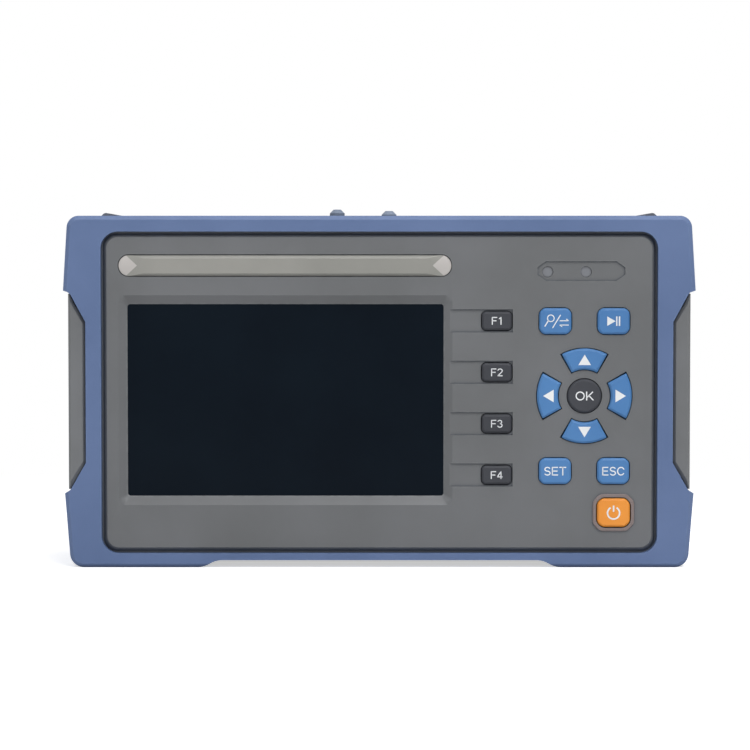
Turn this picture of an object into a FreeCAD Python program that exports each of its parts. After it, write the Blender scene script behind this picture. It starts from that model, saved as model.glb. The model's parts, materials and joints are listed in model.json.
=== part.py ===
import FreeCAD, Part
import os
import re
import Sketcher
from FreeCAD import Vector

# A handheld optical time domain reflectometer in a rubber boot, in millimetres.
# It stands on its feet: +Z is up, the screen and keys face -Y, X runs along the front.
# A level is a distance from the middle of the depth towards the front, so it is -Y.

QUARTER_TURN = 1.5707963267948966
DEGREE = QUARTER_TURN / 90
NEAR = 0.01

SIZES = {
    # rubber boot
    "boot_side_wall": 4.5,
    "boot_top_wall": 3.9,
    "boot_depth": 57.0,
    "boot_top_taper": 1.6,
    "boot_low_taper": 0.3,
    "boot_foot_taper": 2.4,
    "boot_low_rise": 27.0,
    "boot_high_rise": 96.5,
    "boot_top_radius": 4.2,
    "boot_foot_radius": 4.9,
    "boot_rim": 1.4,
    "boot_fit": 0.1,
    "front_lip": 3.0,
    "back_lip": 4.0,
    "lip_proud": 1.1,
    "groove_gap": 1.5,
    "foot_rise": 2.6,
    "foot_inner_x": 57.0,
    "foot_slope": 4.4,
    # side windows of the boot and the grips in them
    "side_inner_x": 102.1,
    "side_corner_x": 107.6,
    "side_low_z": 27.0,
    "side_low_bend_z": 36.6,
    "side_high_bend_z": 85.6,
    "side_high_z": 95.8,
    "side_slope": 3.0,
    "side_back_strip": 11.5,
    "grip_gap": 0.3,
    "grip_width": 216.6,
    "grip_sink": 1.0,
    "grip_bevel": 0.9,
    "grip_groove": 1.0,
    "grip_groove_width": 2.2,
    "grip_groove_pitch": 7.2,
    "grip_groove_length": 32.0,
    # corner guards on the boot's back
    "guard_inner_x": 85.0,
    "guard_peak_x": 100.5,
    "guard_rise": 2.7,
    "guard_depth": 15.0,
    "guard_root": 0.5,
    # the two halves of the case
    "case_width": 211.0,
    "case_bottom": 4.2,
    "case_height": 114.4,
    "case_radius": 5.0,
    "case_wall": 2.6,
    "back_wall": 3.0,
    "split_level": 6.0,
    "panel_side_margin": 10.2,
    "panel_low_margin": 2.3,
    "panel_high_margin": 3.1,
    "panel_radius": 4.5,
    "panel_wall": 3.1,
    "panel_bevel": 0.5,
    "back_side_margin": 15.3,
    "back_low_margin": 5.6,
    "back_high_margin": 8.4,
    "back_panel_radius": 6.0,
    "seal_width": 1.0,
    "seal_deep": 0.8,
    # screen
    "window_x": -32.7,
    "window_z": 58.35,
    "window_width": 110.2,
    "window_height": 66.9,
    "window_radius": 1.0,
    "window_bevel": 3.1,
    "lens_margin": 1.8,
    "lens_thick": 1.1,
    "lens_gap": 0.1,
    "gasket_thick": 0.8,
    "gasket_margin": 0.9,
    "lcd_width": 118.0,
    "lcd_height": 76.0,
    "lcd_thick": 4.0,
    "bracket_height": 92.0,
    "bracket_thick": 1.0,
    "bracket_frame": 18.0,
    "bracket_boss_x": 47.5,
    "bracket_boss_z": 42.2,
    # title strip and indicator recess
    "strip_x": -32.8,
    "strip_drop": 10.3,
    "strip_width": 115.9,
    "strip_height": 7.5,
    "strip_radius": 3.6,
    "strip_seat": 0.9,
    "strip_rise": 0.7,
    "strip_slope": 2.1,
    "strip_gap": 0.15,
    "lamp_pad_x": 70.2,
    "lamp_pad_drop": 12.2,
    "lamp_pad_width": 30.5,
    "lamp_pad_height": 6.8,
    "lamp_pad_cut_x": 3.0,
    "lamp_pad_cut_z": 2.1,
    "lamp_pad_deep": 0.5,
    "lamp_left_x": 58.55,
    "lamp_right_x": 71.9,
    "lamp_drop": 12.45,
    "lamp_width": 3.9,
    "lamp_fit": 0.05,
    "lamp_sink": 0.5,
    "led_width": 3.0,
    "led_thick": 1.0,
    # keys
    "key_gap": 0.3,
    "key_travel": 0.9,
    "key_rest_gap": 0.1,
    "key_lip": 1.2,
    "key_lip_thick": 1.0,
    "key_stem": 3.0,
    "key_proud": 1.0,
    "key_bevel": 0.7,
    "soft_key_x": 40.9,
    "soft_key_z": 86.0,
    "soft_key_pitch": 17.9,
    "soft_key_width": 11.1,
    "soft_key_height": 7.2,
    "soft_key_radius": 1.2,
    "soft_key_proud": 0.5,
    "soft_pocket_left": 24.4,
    "soft_pocket_height": 8.06,
    "soft_pocket_deep": 0.6,
    "left_key_x": 61.2,
    "right_key_x": 81.45,
    "upper_key_z": 85.9,
    "lower_key_z": 33.7,
    "blue_key_width": 11.8,
    "blue_key_height": 9.7,
    "blue_key_radius": 1.75,
    "pad_x": 71.36,
    "pad_z": 59.9,
    "ok_radius": 6.2,
    "arrow_inner": 8.9,
    "arrow_outer": 16.8,
    "arrow_half_angle": 30.4,
    "arrow_lip_angle": 3.0,
    "power_x": 81.6,
    "power_z": 19.2,
    "power_width": 12.2,
    "power_height": 10.7,
    "power_radius": 2.0,
    "power_rim": 1.2,
    "power_rim_rise": 0.6,
    # keypad mat, domes and the board behind the keys
    "mat_thick": 1.0,
    "mat_hole": 5.4,
    "mat_inset": 1.0,
    "switch_width": 4.2,
    "switch_thick": 0.3,
    "key_board_left": 30.0,
    "key_board_margin": 3.0,
    "board_thick": 1.6,
    "key_boss_inset": 4.4,
    "key_boss_low_x": 33.5,
    "key_boss_low_inner_x": 66.0,
    "key_boss_high_x": 36.0,
    "key_boss_high_inner_x": 88.0,
    "boss_width": 5.0,
    "boss_hole_gap": 0.3,
    "small_screw_width": 1.9,
    "small_screw_gap": 0.2,
    "small_screw_length": 4.4,
    "small_head_width": 4.0,
    "small_head_thick": 1.4,
    # case screws
    "case_screw_inset": 8.0,
    "case_boss_width": 7.2,
    "case_screw_width": 3.0,
    "case_screw_gap": 0.2,
    "case_head_width": 5.6,
    "case_head_thick": 2.0,
    "case_head_deep": 2.2,
    "case_thread_length": 12.0,
    # battery bay, pack and cover
    "bay_width": 90.0,
    "bay_low": 28.0,
    "bay_high": 64.0,
    "bay_floor_level": -3.0,
    "bay_wall": 2.0,
    "bay_side_wall": 9.0,
    "pack_gap": 0.5,
    "pack_radius": 3.0,
    "cover_width": 104.0,
    "cover_low": 24.0,
    "cover_high": 68.0,
    "cover_thick": 2.4,
    "cover_radius": 2.5,
    "cover_gap": 0.2,
    "cover_screw_x": 48.6,
    "cover_rib_width": 1.2,
    "cover_rib_pitch": 5.0,
    "cover_rib_length": 44.0,
    "cover_rib_deep": 0.6,
    # main board
    "main_board_half_width": 76.0,
    "main_board_low": 12.0,
    "main_board_high": 104.0,
    "main_board_tab_left": 30.0,
    "main_board_tab_drop": 5.6,
    "standoff_rise": 2.3,
    "standoff_width": 6.0,
    "standoff_x": 46.5,
    "standoff_inset": 5.0,
    "shield_x": 8.0,
    "shield_z": 60.0,
    "shield_width": 46.0,
    "shield_height": 34.0,
    "shield_thick": 3.2,
    "shield_corner": 1.0,
    "cell_x": -62.0,
    "cell_z": 88.0,
    "cell_width": 20.0,
    "cell_thick": 3.2,
    # optical module and the fibre ports
    "module_left": -66.0,
    "module_right": -4.0,
    "module_low": 70.0,
    "module_high": 102.0,
    "module_thick": 16.0,
    "module_radius": 2.0,
    "coil_radius": 12.0,
    "coil_width": 2.6,
    "coil_thick": 1.2,
    "module_lid": 0.8,
    "module_lid_inset": 3.0,
    "port_drop": 10.6,
    "port_y": 7.0,
    "port_bay_left": -26.3,
    "port_bay_right": 14.7,
    "port_bay_deep": 20.0,
    "port_bay_wall": 2.0,
    "port_bay_radius": 3.0,
    "port_mouth_gap": 1.2,
    "mouth_past": 0.5,
    "otdr_port_x": -15.2,
    "vfl_port_x": 3.6,
    "flange_width": 14.0,
    "flange_corner": 1.5,
    "flange_thick": 1.5,
    "port_thread_width": 8.0,
    "port_thread_length": 5.5,
    "port_bore": 2.5,
    "port_tail_width": 7.0,
    "port_tail_length": 5.0,
    "port_tail_gap": 0.1,
    "flange_screw_offset": 5.1,
    "flange_screw_width": 1.5,
    "flange_screw_gap": 0.2,
    "flange_screw_length": 3.0,
    "flange_head_width": 2.6,
    "flange_head_thick": 0.9,
    "laser_width": 9.0,
    "laser_length": 27.0,
    # dust caps
    "cap_width": 9.6,
    "cap_fit": 0.1,
    "cap_seat_gap": 0.3,
    "cap_top_wall": 2.0,
    "cap_tip_width": 5.4,
    "cap_tip_rise": 7.4,
    "vfl_cap_drop": 0.5,
    # sockets and the rubber flap over them
    "flap_x": 53.5,
    "flap_y": 2.2,
    "flap_width": 44.0,
    "flap_deep": 16.0,
    "flap_radius": 2.5,
    "flap_gap": 0.6,
    "flap_sink": 0.2,
    "flap_edge": 0.6,
    "socket_gap": 0.2,
    "socket_sink": 0.4,
    "usb_x": 41.5,
    "usb_width": 13.2,
    "usb_thick": 5.8,
    "usb_length": 14.0,
    "usb_shell": 0.4,
    "usb_tongue": 1.8,
    "usb_tongue_gap": 0.3,
    "usb_tongue_side": 1.0,
    "usb_back": 3.0,
    "micro_x": 55.0,
    "micro_width": 7.6,
    "micro_thick": 2.8,
    "micro_length": 6.0,
    "micro_shell": 0.4,
    "micro_deep": 4.0,
    "jack_x": 67.0,
    "jack_width": 9.0,
    "jack_thick": 9.0,
    "jack_length": 14.0,
    "jack_bore": 5.6,
    "jack_pin": 1.6,
    "jack_pin_drop": 1.0,
    "jack_bore_deep": 9.5,
    # speaker
    "speaker_x": 45.0,
    "speaker_z": 95.0,
    "speaker_width": 18.0,
    "speaker_corner": 5.0,
    "speaker_thick": 4.5,
    "speaker_slot_width": 11.0,
    "speaker_slot_height": 1.4,
    "speaker_slot_pitch": 2.8,
    # folding stand
    "stand_low": 10.6,
    "stand_axis_z": 80.0,
    "stand_inner_x": 54.0,
    "stand_leg": 12.0,
    "stand_bar": 10.0,
    "stand_thick": 4.0,
    "stand_radius": 4.0,
    "stand_gap": 0.3,
    "stand_sink": 0.1,
    "stand_pin_width": 2.0,
    "stand_pin_fit": 0.06,
    "stand_pin_bite": 4.0,
    "nick_width": 24.0,
    "nick_height": 3.4,
}

PLACES = {
    "case_top": "case_bottom + case_height",
    "case_mid": "case_bottom + case_height / 2",
    "boot_height": "case_top + boot_top_wall",
    "boot_half": "case_width / 2 + boot_side_wall",
    "boot_top_half": "boot_half - boot_top_taper",
    "boot_low_half": "boot_half - boot_low_taper",
    "boot_foot_half": "boot_half - boot_foot_taper",
    "panel_width": "case_width - 2 * panel_side_margin",
    "panel_low": "case_bottom + panel_low_margin",
    "panel_high": "case_top - panel_high_margin",
    "back_panel_width": "case_width - 2 * back_side_margin",
    "back_panel_low": "case_bottom + back_low_margin",
    "back_panel_high": "case_top - back_high_margin",
    "strip_z": "panel_high - strip_drop",
    "lamp_pad_z": "panel_high - lamp_pad_drop",
    "lamp_z": "panel_high - lamp_drop",
    "key_board_right": "panel_width / 2 - key_board_margin",
    "key_board_low": "panel_low + key_board_margin",
    "key_board_high": "panel_high - key_board_margin",
    "key_boss_low_z": "key_board_low + key_boss_inset",
    "key_boss_high_z": "key_board_high - key_boss_inset",
    "case_screw_x": "case_width / 2 - case_screw_inset",
    "case_screw_low_z": "case_bottom + case_screw_inset",
    "case_screw_high_z": "case_top - case_screw_inset",
    "main_board_tab_high": "case_top - main_board_tab_drop",
    "port_z": "case_top - port_drop",
    "cap_tip_z": "case_top + cap_tip_rise",
    "boot_front": "boot_depth / 2",
    "panel_front": "boot_front - lip_proud",
    "shoulder_front": "boot_front - front_lip",
    "front_floor": "shoulder_front - case_wall",
    "panel_floor": "panel_front - panel_wall",
    "boot_back": "-boot_depth / 2",
    "back_panel_face": "boot_back + lip_proud",
    "shoulder_back": "boot_back + back_lip",
    "back_floor": "shoulder_back + back_wall",
    "panel_mid": "(panel_low + panel_high) / 2",
    "panel_height": "panel_high - panel_low",
    "back_panel_mid": "(back_panel_low + back_panel_high) / 2",
    "back_panel_height": "back_panel_high - back_panel_low",
    "lens_front": "panel_floor + lens_thick",
    "lcd_front": "panel_floor - gasket_thick",
    "lcd_back": "lcd_front - lcd_thick",
    "bracket_back": "lcd_back - bracket_thick",
    "lip_back": "panel_floor - key_lip_thick",
    "mat_front": "lip_back - key_travel - key_rest_gap",
    "mat_back": "mat_front - mat_thick",
    "stem_end": "mat_back + switch_thick + key_travel + key_rest_gap",
    "key_board_back": "mat_back - board_thick",
    "strip_floor": "panel_front - strip_seat",
    "lamp_floor": "panel_front - lamp_pad_deep",
    "soft_floor": "panel_front - soft_pocket_deep",
    "bay_mid": "(bay_low + bay_high) / 2",
    "cover_mid": "(cover_low + cover_high) / 2",
    "cover_seat": "back_panel_face + cover_thick",
    "bay_back_level": "bay_floor_level + bay_wall",
    "main_board_back": "bay_back_level + standoff_rise",
    "main_board_front": "main_board_back + board_thick",
    "stand_floor": "back_panel_face + stand_sink + stand_thick + stand_gap",
    "stand_face": "back_panel_face + stand_sink",
    "stand_axis_level": "stand_face + stand_thick / 2",
    "stand_outer_x": "stand_inner_x + stand_leg",
    "stand_top": "stand_axis_z + stand_thick / 2",
    "port_bay_x": "(port_bay_left + port_bay_right) / 2",
    "port_bay_width": "port_bay_right - port_bay_left",
    "port_tail_z": "port_z - port_tail_length",
    "port_top_z": "port_z + flange_thick + port_thread_length",
    "socket_top": "case_top - socket_sink",
    "flap_top": "boot_height - flap_sink",
    "grip_front": "boot_front - grip_sink",
    "grip_back": "boot_back + side_back_strip + grip_gap",
    "case_head_floor": "shoulder_back + case_head_deep",
}

doc = FreeCAD.newDocument("otdr")
size_sheet = doc.addObject("Spreadsheet::Sheet", "Size")
place_sheet = doc.addObject("Spreadsheet::Sheet", "Place")
homes = {name: "Size." for name in SIZES}
homes.update({name: "Place." for name in PLACES})


def formula(text):
    """Put each size's sheet in front of its name."""
    return re.sub(r"[a-z_]+[a-z0-9_]*", lambda word: homes.get(word[0], "") + word[0], text)


def fill_sheets():
    for row, (name, number) in enumerate(SIZES.items(), start=1):
        size_sheet.set(f"A{row}", name.replace("_", " "))
        size_sheet.set(f"B{row}", str(number))
        size_sheet.setAlias(f"B{row}", name)
    doc.recompute()
    for row, (name, text) in enumerate(PLACES.items(), start=1):
        place_sheet.set(f"A{row}", name.replace("_", " "))
        place_sheet.setAlias(f"B{row}", name)
        place_sheet.set(f"B{row}", "=" + formula(text))
    doc.recompute()


def value(text):
    return float(size_sheet.evalExpression(formula(text)))


def both(text):
    """The same distance to the left and to the right of the middle."""
    return [f"-({text})", text]


# ---- sketches -------------------------------------------------------------------------

def make_sketch(body, plane, level, at=("0", "0")):
    """A sketch on one of the body's origin planes, its origin at the given place."""
    sketch = body.newObject("Sketcher::SketchObject", body.Name + "_sketch")
    support = next(f for f in body.Origin.OriginFeatures if f.Role == plane)
    sketch.AttachmentSupport = [(support, "")]
    sketch.MapMode = "FlatFace"
    sketch.setExpression("AttachmentOffset.Base.x", formula(at[0]))
    sketch.setExpression("AttachmentOffset.Base.y", formula(at[1]))
    sketch.setExpression("AttachmentOffset.Base.z", formula(level))
    return sketch


def bind(sketch, constraint, text):
    number = sketch.addConstraint(constraint)
    sketch.setExpression(f"Constraints[{number}]", formula(text))


def pin(sketch, edge, end, x, y):
    bind(sketch, Sketcher.Constraint("DistanceX", -1, 1, edge, end, value(x)), x)
    bind(sketch, Sketcher.Constraint("DistanceY", -1, 1, edge, end, value(y)), y)


def draw_line(sketch, start, end):
    points = [Vector(value(x), value(y), 0) for x, y in (start, end)]
    return sketch.addGeometry(Part.LineSegment(*points))


def polygon(corners):
    def draw(sketch):
        lines = []
        for start, end in zip(corners, corners[1:] + corners[:1]):
            lines.append(draw_line(sketch, start, end))
        for line, before, corner in zip(lines, lines[-1:] + lines[:-1], corners):
            sketch.addConstraint(Sketcher.Constraint("Coincident", before, 2, line, 1))
            pin(sketch, line, 1, *corner)
    return draw


def rectangle(left, right, low, high):
    return polygon([(left, low), (right, low), (right, high), (left, high)])


def rounded(width, height, radius, x="0", y="0"):
    """A rectangle with round corners about the point x, y."""
    def draw(sketch):
        right, top = f"{x} + ({width}) / 2", f"{y} + ({height}) / 2"
        left, low = f"{x} - ({width}) / 2", f"{y} - ({height}) / 2"
        inner_right, inner_top = f"{right} - ({radius})", f"{top} - ({radius})"
        inner_left, inner_low = f"{left} + {radius}", f"{low} + {radius}"
        sides = [((inner_left, low), (inner_right, low)), ((right, inner_low), (right, inner_top)),
                 ((inner_right, top), (inner_left, top)), ((left, inner_top), (left, inner_low))]
        centres = [(inner_right, inner_low), (inner_right, inner_top),
                   (inner_left, inner_top), (inner_left, inner_low)]
        lines = [draw_line(sketch, *side) for side in sides]
        for side, line in zip(sides, lines):
            pin(sketch, line, 1, *side[0])
            pin(sketch, line, 2, *side[1])
        for index, centre in enumerate(centres):
            middle = Vector(value(centre[0]), value(centre[1]), 0)
            circle = Part.Circle(middle, Vector(0, 0, 1), value(radius))
            quarter = (index - 1) * QUARTER_TURN
            arc = sketch.addGeometry(Part.ArcOfCircle(circle, quarter, quarter + QUARTER_TURN))
            following = lines[(index + 1) % 4]
            sketch.addConstraint(Sketcher.Constraint("Coincident", lines[index], 2, arc, 1))
            sketch.addConstraint(Sketcher.Constraint("Coincident", arc, 2, following, 1))
            bind(sketch, Sketcher.Constraint("Radius", arc, value(radius)), radius)
    return draw


def circles(spots, width):
    def draw(sketch):
        for x, y in spots:
            middle = Vector(value(x), value(y), 0)
            radius = f"({width}) / 2"
            circle = sketch.addGeometry(Part.Circle(middle, Vector(0, 0, 1), value(radius)))
            pin(sketch, circle, 3, x, y)
            bind(sketch, Sketcher.Constraint("Radius", circle, value(radius)), radius)
    return draw


def hexagons(spots, width):
    """Six-sided outlines, their width measured across the flats."""
    def draw(sketch):
        for x, y in spots:
            side, point = f"({width}) / 2", f"({width}) / sqrt(3)"
            corners = [(f"{x} + {side}", f"{y} - {point} / 2"), (f"{x} + {side}", f"{y} + {point} / 2"),
                       (x, f"{y} + {point}"), (f"{x} - {side}", f"{y} + {point} / 2"),
                       (f"{x} - {side}", f"{y} - {point} / 2"), (x, f"{y} - {point}")]
            polygon(corners)(sketch)
    return draw


def squares(spots, width):
    def draw(sketch):
        for x, y in spots:
            half = f"({width}) / 2"
            rectangle(f"{x} - {half}", f"{x} + {half}", f"{y} - {half}", f"{y} + {half}")(sketch)
    return draw


def eased(width, height, corner, y="0", x="0"):
    """A rectangle with its corners cut off."""
    left, right = f"{x} - ({width}) / 2", f"{x} + ({width}) / 2"
    low, high = f"{y} - ({height}) / 2", f"{y} + ({height}) / 2"
    return polygon([(f"{left} + {corner}", low), (f"{right} - ({corner})", low),
                    (right, f"{low} + {corner}"), (right, f"{high} - ({corner})"),
                    (f"{right} - ({corner})", high), (f"{left} + {corner}", high),
                    (left, f"{high} - ({corner})"), (left, f"{low} + {corner}")])


def together(draws):
    """Several drawings in one sketch."""
    def draw(sketch):
        for part in draws:
            part(sketch)
    return draw


def ring_sector(inner, outer, half_angle):
    """A piece of a ring about the sketch's origin, symmetric about its Y axis."""
    def draw(sketch):
        side = f"sin({half_angle})"
        rise = f"cos({half_angle})"
        start = QUARTER_TURN - value(half_angle) * DEGREE
        end = 2 * QUARTER_TURN - start
        arcs = []
        for radius in (inner, outer):
            circle = Part.Circle(Vector(0, 0, 0), Vector(0, 0, 1), value(radius))
            arc = sketch.addGeometry(Part.ArcOfCircle(circle, start, end))
            sketch.addConstraint(Sketcher.Constraint("Coincident", arc, 3, -1, 1))
            bind(sketch, Sketcher.Constraint("Radius", arc, value(radius)), radius)
            for end_point, sign in ((1, ""), (2, "-")):
                across = f"{sign}({radius}) * {side}"
                place = Sketcher.Constraint("DistanceX", -1, 1, arc, end_point, value(across))
                bind(sketch, place, across)
            arcs.append(arc)
        for end_point, sign in ((1, ""), (2, "-")):
            near = (f"{sign}({inner}) * {side}", f"({inner}) * {rise}")
            far = (f"{sign}({outer}) * {side}", f"({outer}) * {rise}")
            line = draw_line(sketch, near, far)
            sketch.addConstraint(Sketcher.Constraint("Coincident", arcs[0], end_point, line, 1))
            sketch.addConstraint(Sketcher.Constraint("Coincident", arcs[1], end_point, line, 2))
    return draw


# ---- features -------------------------------------------------------------------------

def new_body(name):
    body = doc.addObject("PartDesign::Body", name)
    body.Label = name
    return body


def add(body, draw, low, high, plane="XZ_Plane", at=("0", "0")):
    """Pad the drawing between two levels of its plane."""
    sketch = make_sketch(body, plane, low, at)
    draw(sketch)
    pad = body.newObject("PartDesign::Pad", body.Name + "_pad")
    pad.Profile = sketch
    pad.setExpression("Length", formula(f"({high}) - ({low})"))
    return pad


def cut(body, draw, high, low, plane="XZ_Plane", at=("0", "0")):
    """Pocket the drawing from the higher level of its plane down to the lower one."""
    sketch = make_sketch(body, plane, high, at)
    draw(sketch)
    pocket = body.newObject("PartDesign::Pocket", body.Name + "_pocket")
    pocket.Profile = sketch
    pocket.setExpression("Length", formula(f"({high}) - ({low})"))
    return pocket


def loft(body, kind, draws, levels, at=("0", "0")):
    """Join two drawings at two levels with straight sides."""
    sketches = []
    for draw, level in zip(draws, levels):
        sketch = make_sketch(body, "XZ_Plane", level, at)
        draw(sketch)
        sketches.append(sketch)
    joined = body.newObject("PartDesign::" + kind, body.Name + "_loft")
    joined.Profile = sketches[0]
    joined.Sections = sketches[1:]
    joined.Ruled = True
    return joined


def revolve(body, corners, at, level, plane="XZ_Plane"):
    """Turn a profile about its sketch's vertical axis."""
    sketch = make_sketch(body, plane, level, at)
    polygon(corners)(sketch)
    turned = body.newObject("PartDesign::Revolution", body.Name + "_turned")
    turned.Profile = sketch
    turned.ReferenceAxis = (sketch, ["V_Axis"])
    turned.Angle = 360
    return turned


def dress(body, kind, width, wanted):
    """Fillet or chamfer the edges of the body's tip that the test picks."""
    doc.recompute()
    base = body.Tip
    names = [f"Edge{number}" for number, edge in enumerate(base.Shape.Edges, start=1) if wanted(edge)]
    if not names:
        raise RuntimeError(f"{body.Label}: no edge to dress")
    dressed = body.newObject("PartDesign::" + kind, body.Name + "_dress")
    dressed.Base = (base, names)
    dressed.setExpression("Radius" if kind == "Fillet" else "Size", formula(width))
    body.Tip = dressed
    return dressed


def pattern(body, kind, feature, sketch_axis, count, span):
    """Repeat a feature along or about an axis of its own sketch."""
    copies = body.newObject("PartDesign::" + kind, body.Name + "_pattern")
    copies.Originals = [feature]
    if kind == "PolarPattern":
        copies.Axis = (feature.Profile[0], [sketch_axis])
        copies.Angle = 360
    else:
        copies.Direction = (feature.Profile[0], [sketch_axis])
        copies.setExpression("Length", formula(span))
    copies.Occurrences = count
    body.Tip = copies
    return copies


def lies_at(edge, level):
    """True for an edge that lies flat at a level of the depth."""
    return all(abs(-vertex.Y - value(level)) < NEAR for vertex in edge.Vertexes) \
        and abs(-edge.CenterOfMass.y - value(level)) < NEAR


def runs_through(edge):
    """True for a straight edge that runs along the depth."""
    ends = [vertex.Point for vertex in edge.Vertexes]
    if len(ends) < 2:
        return False
    step = ends[1] - ends[0]
    return abs(step.x) < NEAR and abs(step.z) < NEAR and abs(step.y) > 1


# ---- outlines that several pieces share -----------------------------------------------

def case_outline(grow="0"):
    return eased(f"case_width + 2 * ({grow})", f"case_height + 2 * ({grow})",
                 f"case_radius + ({grow}) / 2", "case_mid")


def panel_outline(grow="0"):
    return rounded(f"panel_width + 2 * ({grow})", f"panel_height + 2 * ({grow})",
                   f"panel_radius + ({grow})", y="panel_mid")


def back_panel_outline(grow="0"):
    return eased(f"back_panel_width + 2 * ({grow})", f"back_panel_height + 2 * ({grow})",
                 f"back_panel_radius + ({grow}) / 2", "back_panel_mid")


def window_outline(grow="0"):
    return rounded(f"window_width + 2 * ({grow})", f"window_height + 2 * ({grow})",
                   f"window_radius + ({grow}) / 2")


WINDOW = ("window_x", "window_z")
LENS_HALF = ("window_width / 2 + lens_margin", "window_height / 2 + lens_margin")
LENS_SEAT = (f"-({LENS_HALF[0]} + lens_gap)", f"{LENS_HALF[0]} + lens_gap",
             f"-({LENS_HALF[1]} + lens_gap)", f"{LENS_HALF[1]} + lens_gap")
DPAD = ("pad_x", "pad_z")
CASE_SPOTS = [(x, z) for x in both("case_screw_x")
              for z in ("case_screw_low_z", "case_mid", "case_screw_high_z")]
BRACKET_SPOTS = [(x, z) for x in both("bracket_boss_x") for z in both("bracket_boss_z")]
KEY_BOARD_SPOTS = [("key_boss_low_x", "key_boss_low_z"), ("key_boss_low_inner_x", "key_boss_low_z"),
                   ("key_boss_high_x", "key_boss_high_z"), ("key_boss_high_inner_x", "key_boss_high_z")]
STANDOFF_SPOTS = [(x, z) for x in both("standoff_x")
                  for z in ("bay_low + standoff_inset", "bay_high - standoff_inset")]
COVER_SPOTS = [(x, "cover_mid") for x in both("cover_screw_x")]
LAMP_SPOTS = [("lamp_left_x", "lamp_z"), ("lamp_right_x", "lamp_z")]
PORT_SPOTS = [("otdr_port_x", "port_y"), ("vfl_port_x", "port_y")]
FLANGE_SPOTS = [(f"{port} + {side}", f"port_y + {side}") for port in ("otdr_port_x", "vfl_port_x")
                for side in both("flange_screw_offset")]

SOFT_KEYS = {f"key_f{number + 1}": ("soft_key_x", f"soft_key_z - {number} * soft_key_pitch")
             for number in range(4)}
BLUE_KEYS = {
    "key_zoom": ("left_key_x", "upper_key_z"),
    "key_play": ("right_key_x", "upper_key_z"),
    "key_set": ("left_key_x", "lower_key_z"),
    "key_esc": ("right_key_x", "lower_key_z"),
}
ARROWS = {"key_up": 0, "key_left": 90, "key_down": 180, "key_right": 270}
ARROW_MIDDLE = "(arrow_inner + arrow_outer) / 2"
ARROW_SPOTS = [("pad_x", f"pad_z + {ARROW_MIDDLE}"), ("pad_x", f"pad_z - {ARROW_MIDDLE}"),
               (f"pad_x - {ARROW_MIDDLE}", "pad_z"), (f"pad_x + {ARROW_MIDDLE}", "pad_z")]
KEY_SPOTS = list(SOFT_KEYS.values()) + list(BLUE_KEYS.values()) + ARROW_SPOTS + [DPAD, ("power_x", "power_z")]


# ---- boot and case --------------------------------------------------------------------

def protective_boot():
    """One rubber loop: front and back lips, side windows, feet, corner guards and port mouths."""
    body = new_body("protective_boot")
    right = [("boot_foot_half", "0"), ("boot_low_half", "boot_low_rise"),
             ("boot_half", "boot_high_rise"), ("boot_top_half", "boot_height")]
    left = [(f"-({x})", z) for x, z in reversed(right)]
    add(body, polygon(right + left), "boot_back", "boot_front")
    dress(body, "Fillet", "boot_foot_radius", lambda e: runs_through(e) and e.CenterOfMass.z < 1)
    dress(body, "Fillet", "boot_top_radius",
          lambda e: runs_through(e) and abs(e.CenterOfMass.z - value("boot_height")) < NEAR)
    dress(body, "Chamfer", "boot_rim",
          lambda e: lies_at(e, "boot_front") or lies_at(e, "boot_back"))
    for side in ("", "-"):
        guard = [("guard_inner_x", "case_top + boot_fit + guard_root"), ("guard_inner_x", "boot_height"),
                 ("guard_peak_x", "boot_height + guard_rise"),
                 ("guard_peak_x + guard_rise / 2", "boot_height + guard_rise / 2"),
                 ("boot_top_half - boot_top_radius / 3", "boot_height - boot_top_radius / 3"),
                 ("boot_top_half - boot_top_radius / 3", "case_top + boot_fit + guard_root")]
        mirrored = [(f"{side}({x})", z) for x, z in guard]
        add(body, polygon(mirrored), "boot_back + boot_rim", "boot_back + guard_depth")
    feet = [("-(foot_inner_x + foot_slope)", "-1"), ("foot_inner_x + foot_slope", "-1"),
            ("foot_inner_x + foot_slope", "0"), ("foot_inner_x", "foot_rise"),
            ("-foot_inner_x", "foot_rise"), ("-(foot_inner_x + foot_slope)", "0")]
    cut(body, polygon(feet), "boot_front", "boot_back")
    for side in ("", "-"):
        window = [("side_inner_x", "side_low_bend_z"), ("side_corner_x", "side_low_z"),
                  ("boot_half + side_slope", "side_low_z - side_slope"),
                  ("boot_half + side_slope", "side_high_z + side_slope / 2"),
                  ("side_corner_x", "side_high_z"), ("side_inner_x", "side_high_bend_z")]
        mirrored = [(f"{side}({x})", z) for x, z in window]
        cut(body, polygon(mirrored), "boot_front", "boot_back + side_back_strip")
    cut(body, case_outline("boot_fit"), "shoulder_front", "shoulder_back")
    cut(body, panel_outline("groove_gap"), "boot_front", "shoulder_front")
    cut(body, back_panel_outline("groove_gap"), "shoulder_back", "boot_back")
    mouth = eased("port_bay_width + 2 * port_mouth_gap", "port_bay_deep + 2 * port_mouth_gap",
                  "port_bay_radius + port_mouth_gap / 2")
    cut(body, mouth, "boot_height", "case_top - mouth_past", "XY_Plane", ("port_bay_x", "port_y"))
    flap_mouth = eased("flap_width + 2 * flap_gap", "flap_deep + 2 * flap_gap", "flap_radius")
    cut(body, flap_mouth, "boot_height", "case_top - mouth_past", "XY_Plane", ("flap_x", "flap_y"))
    return body


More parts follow.
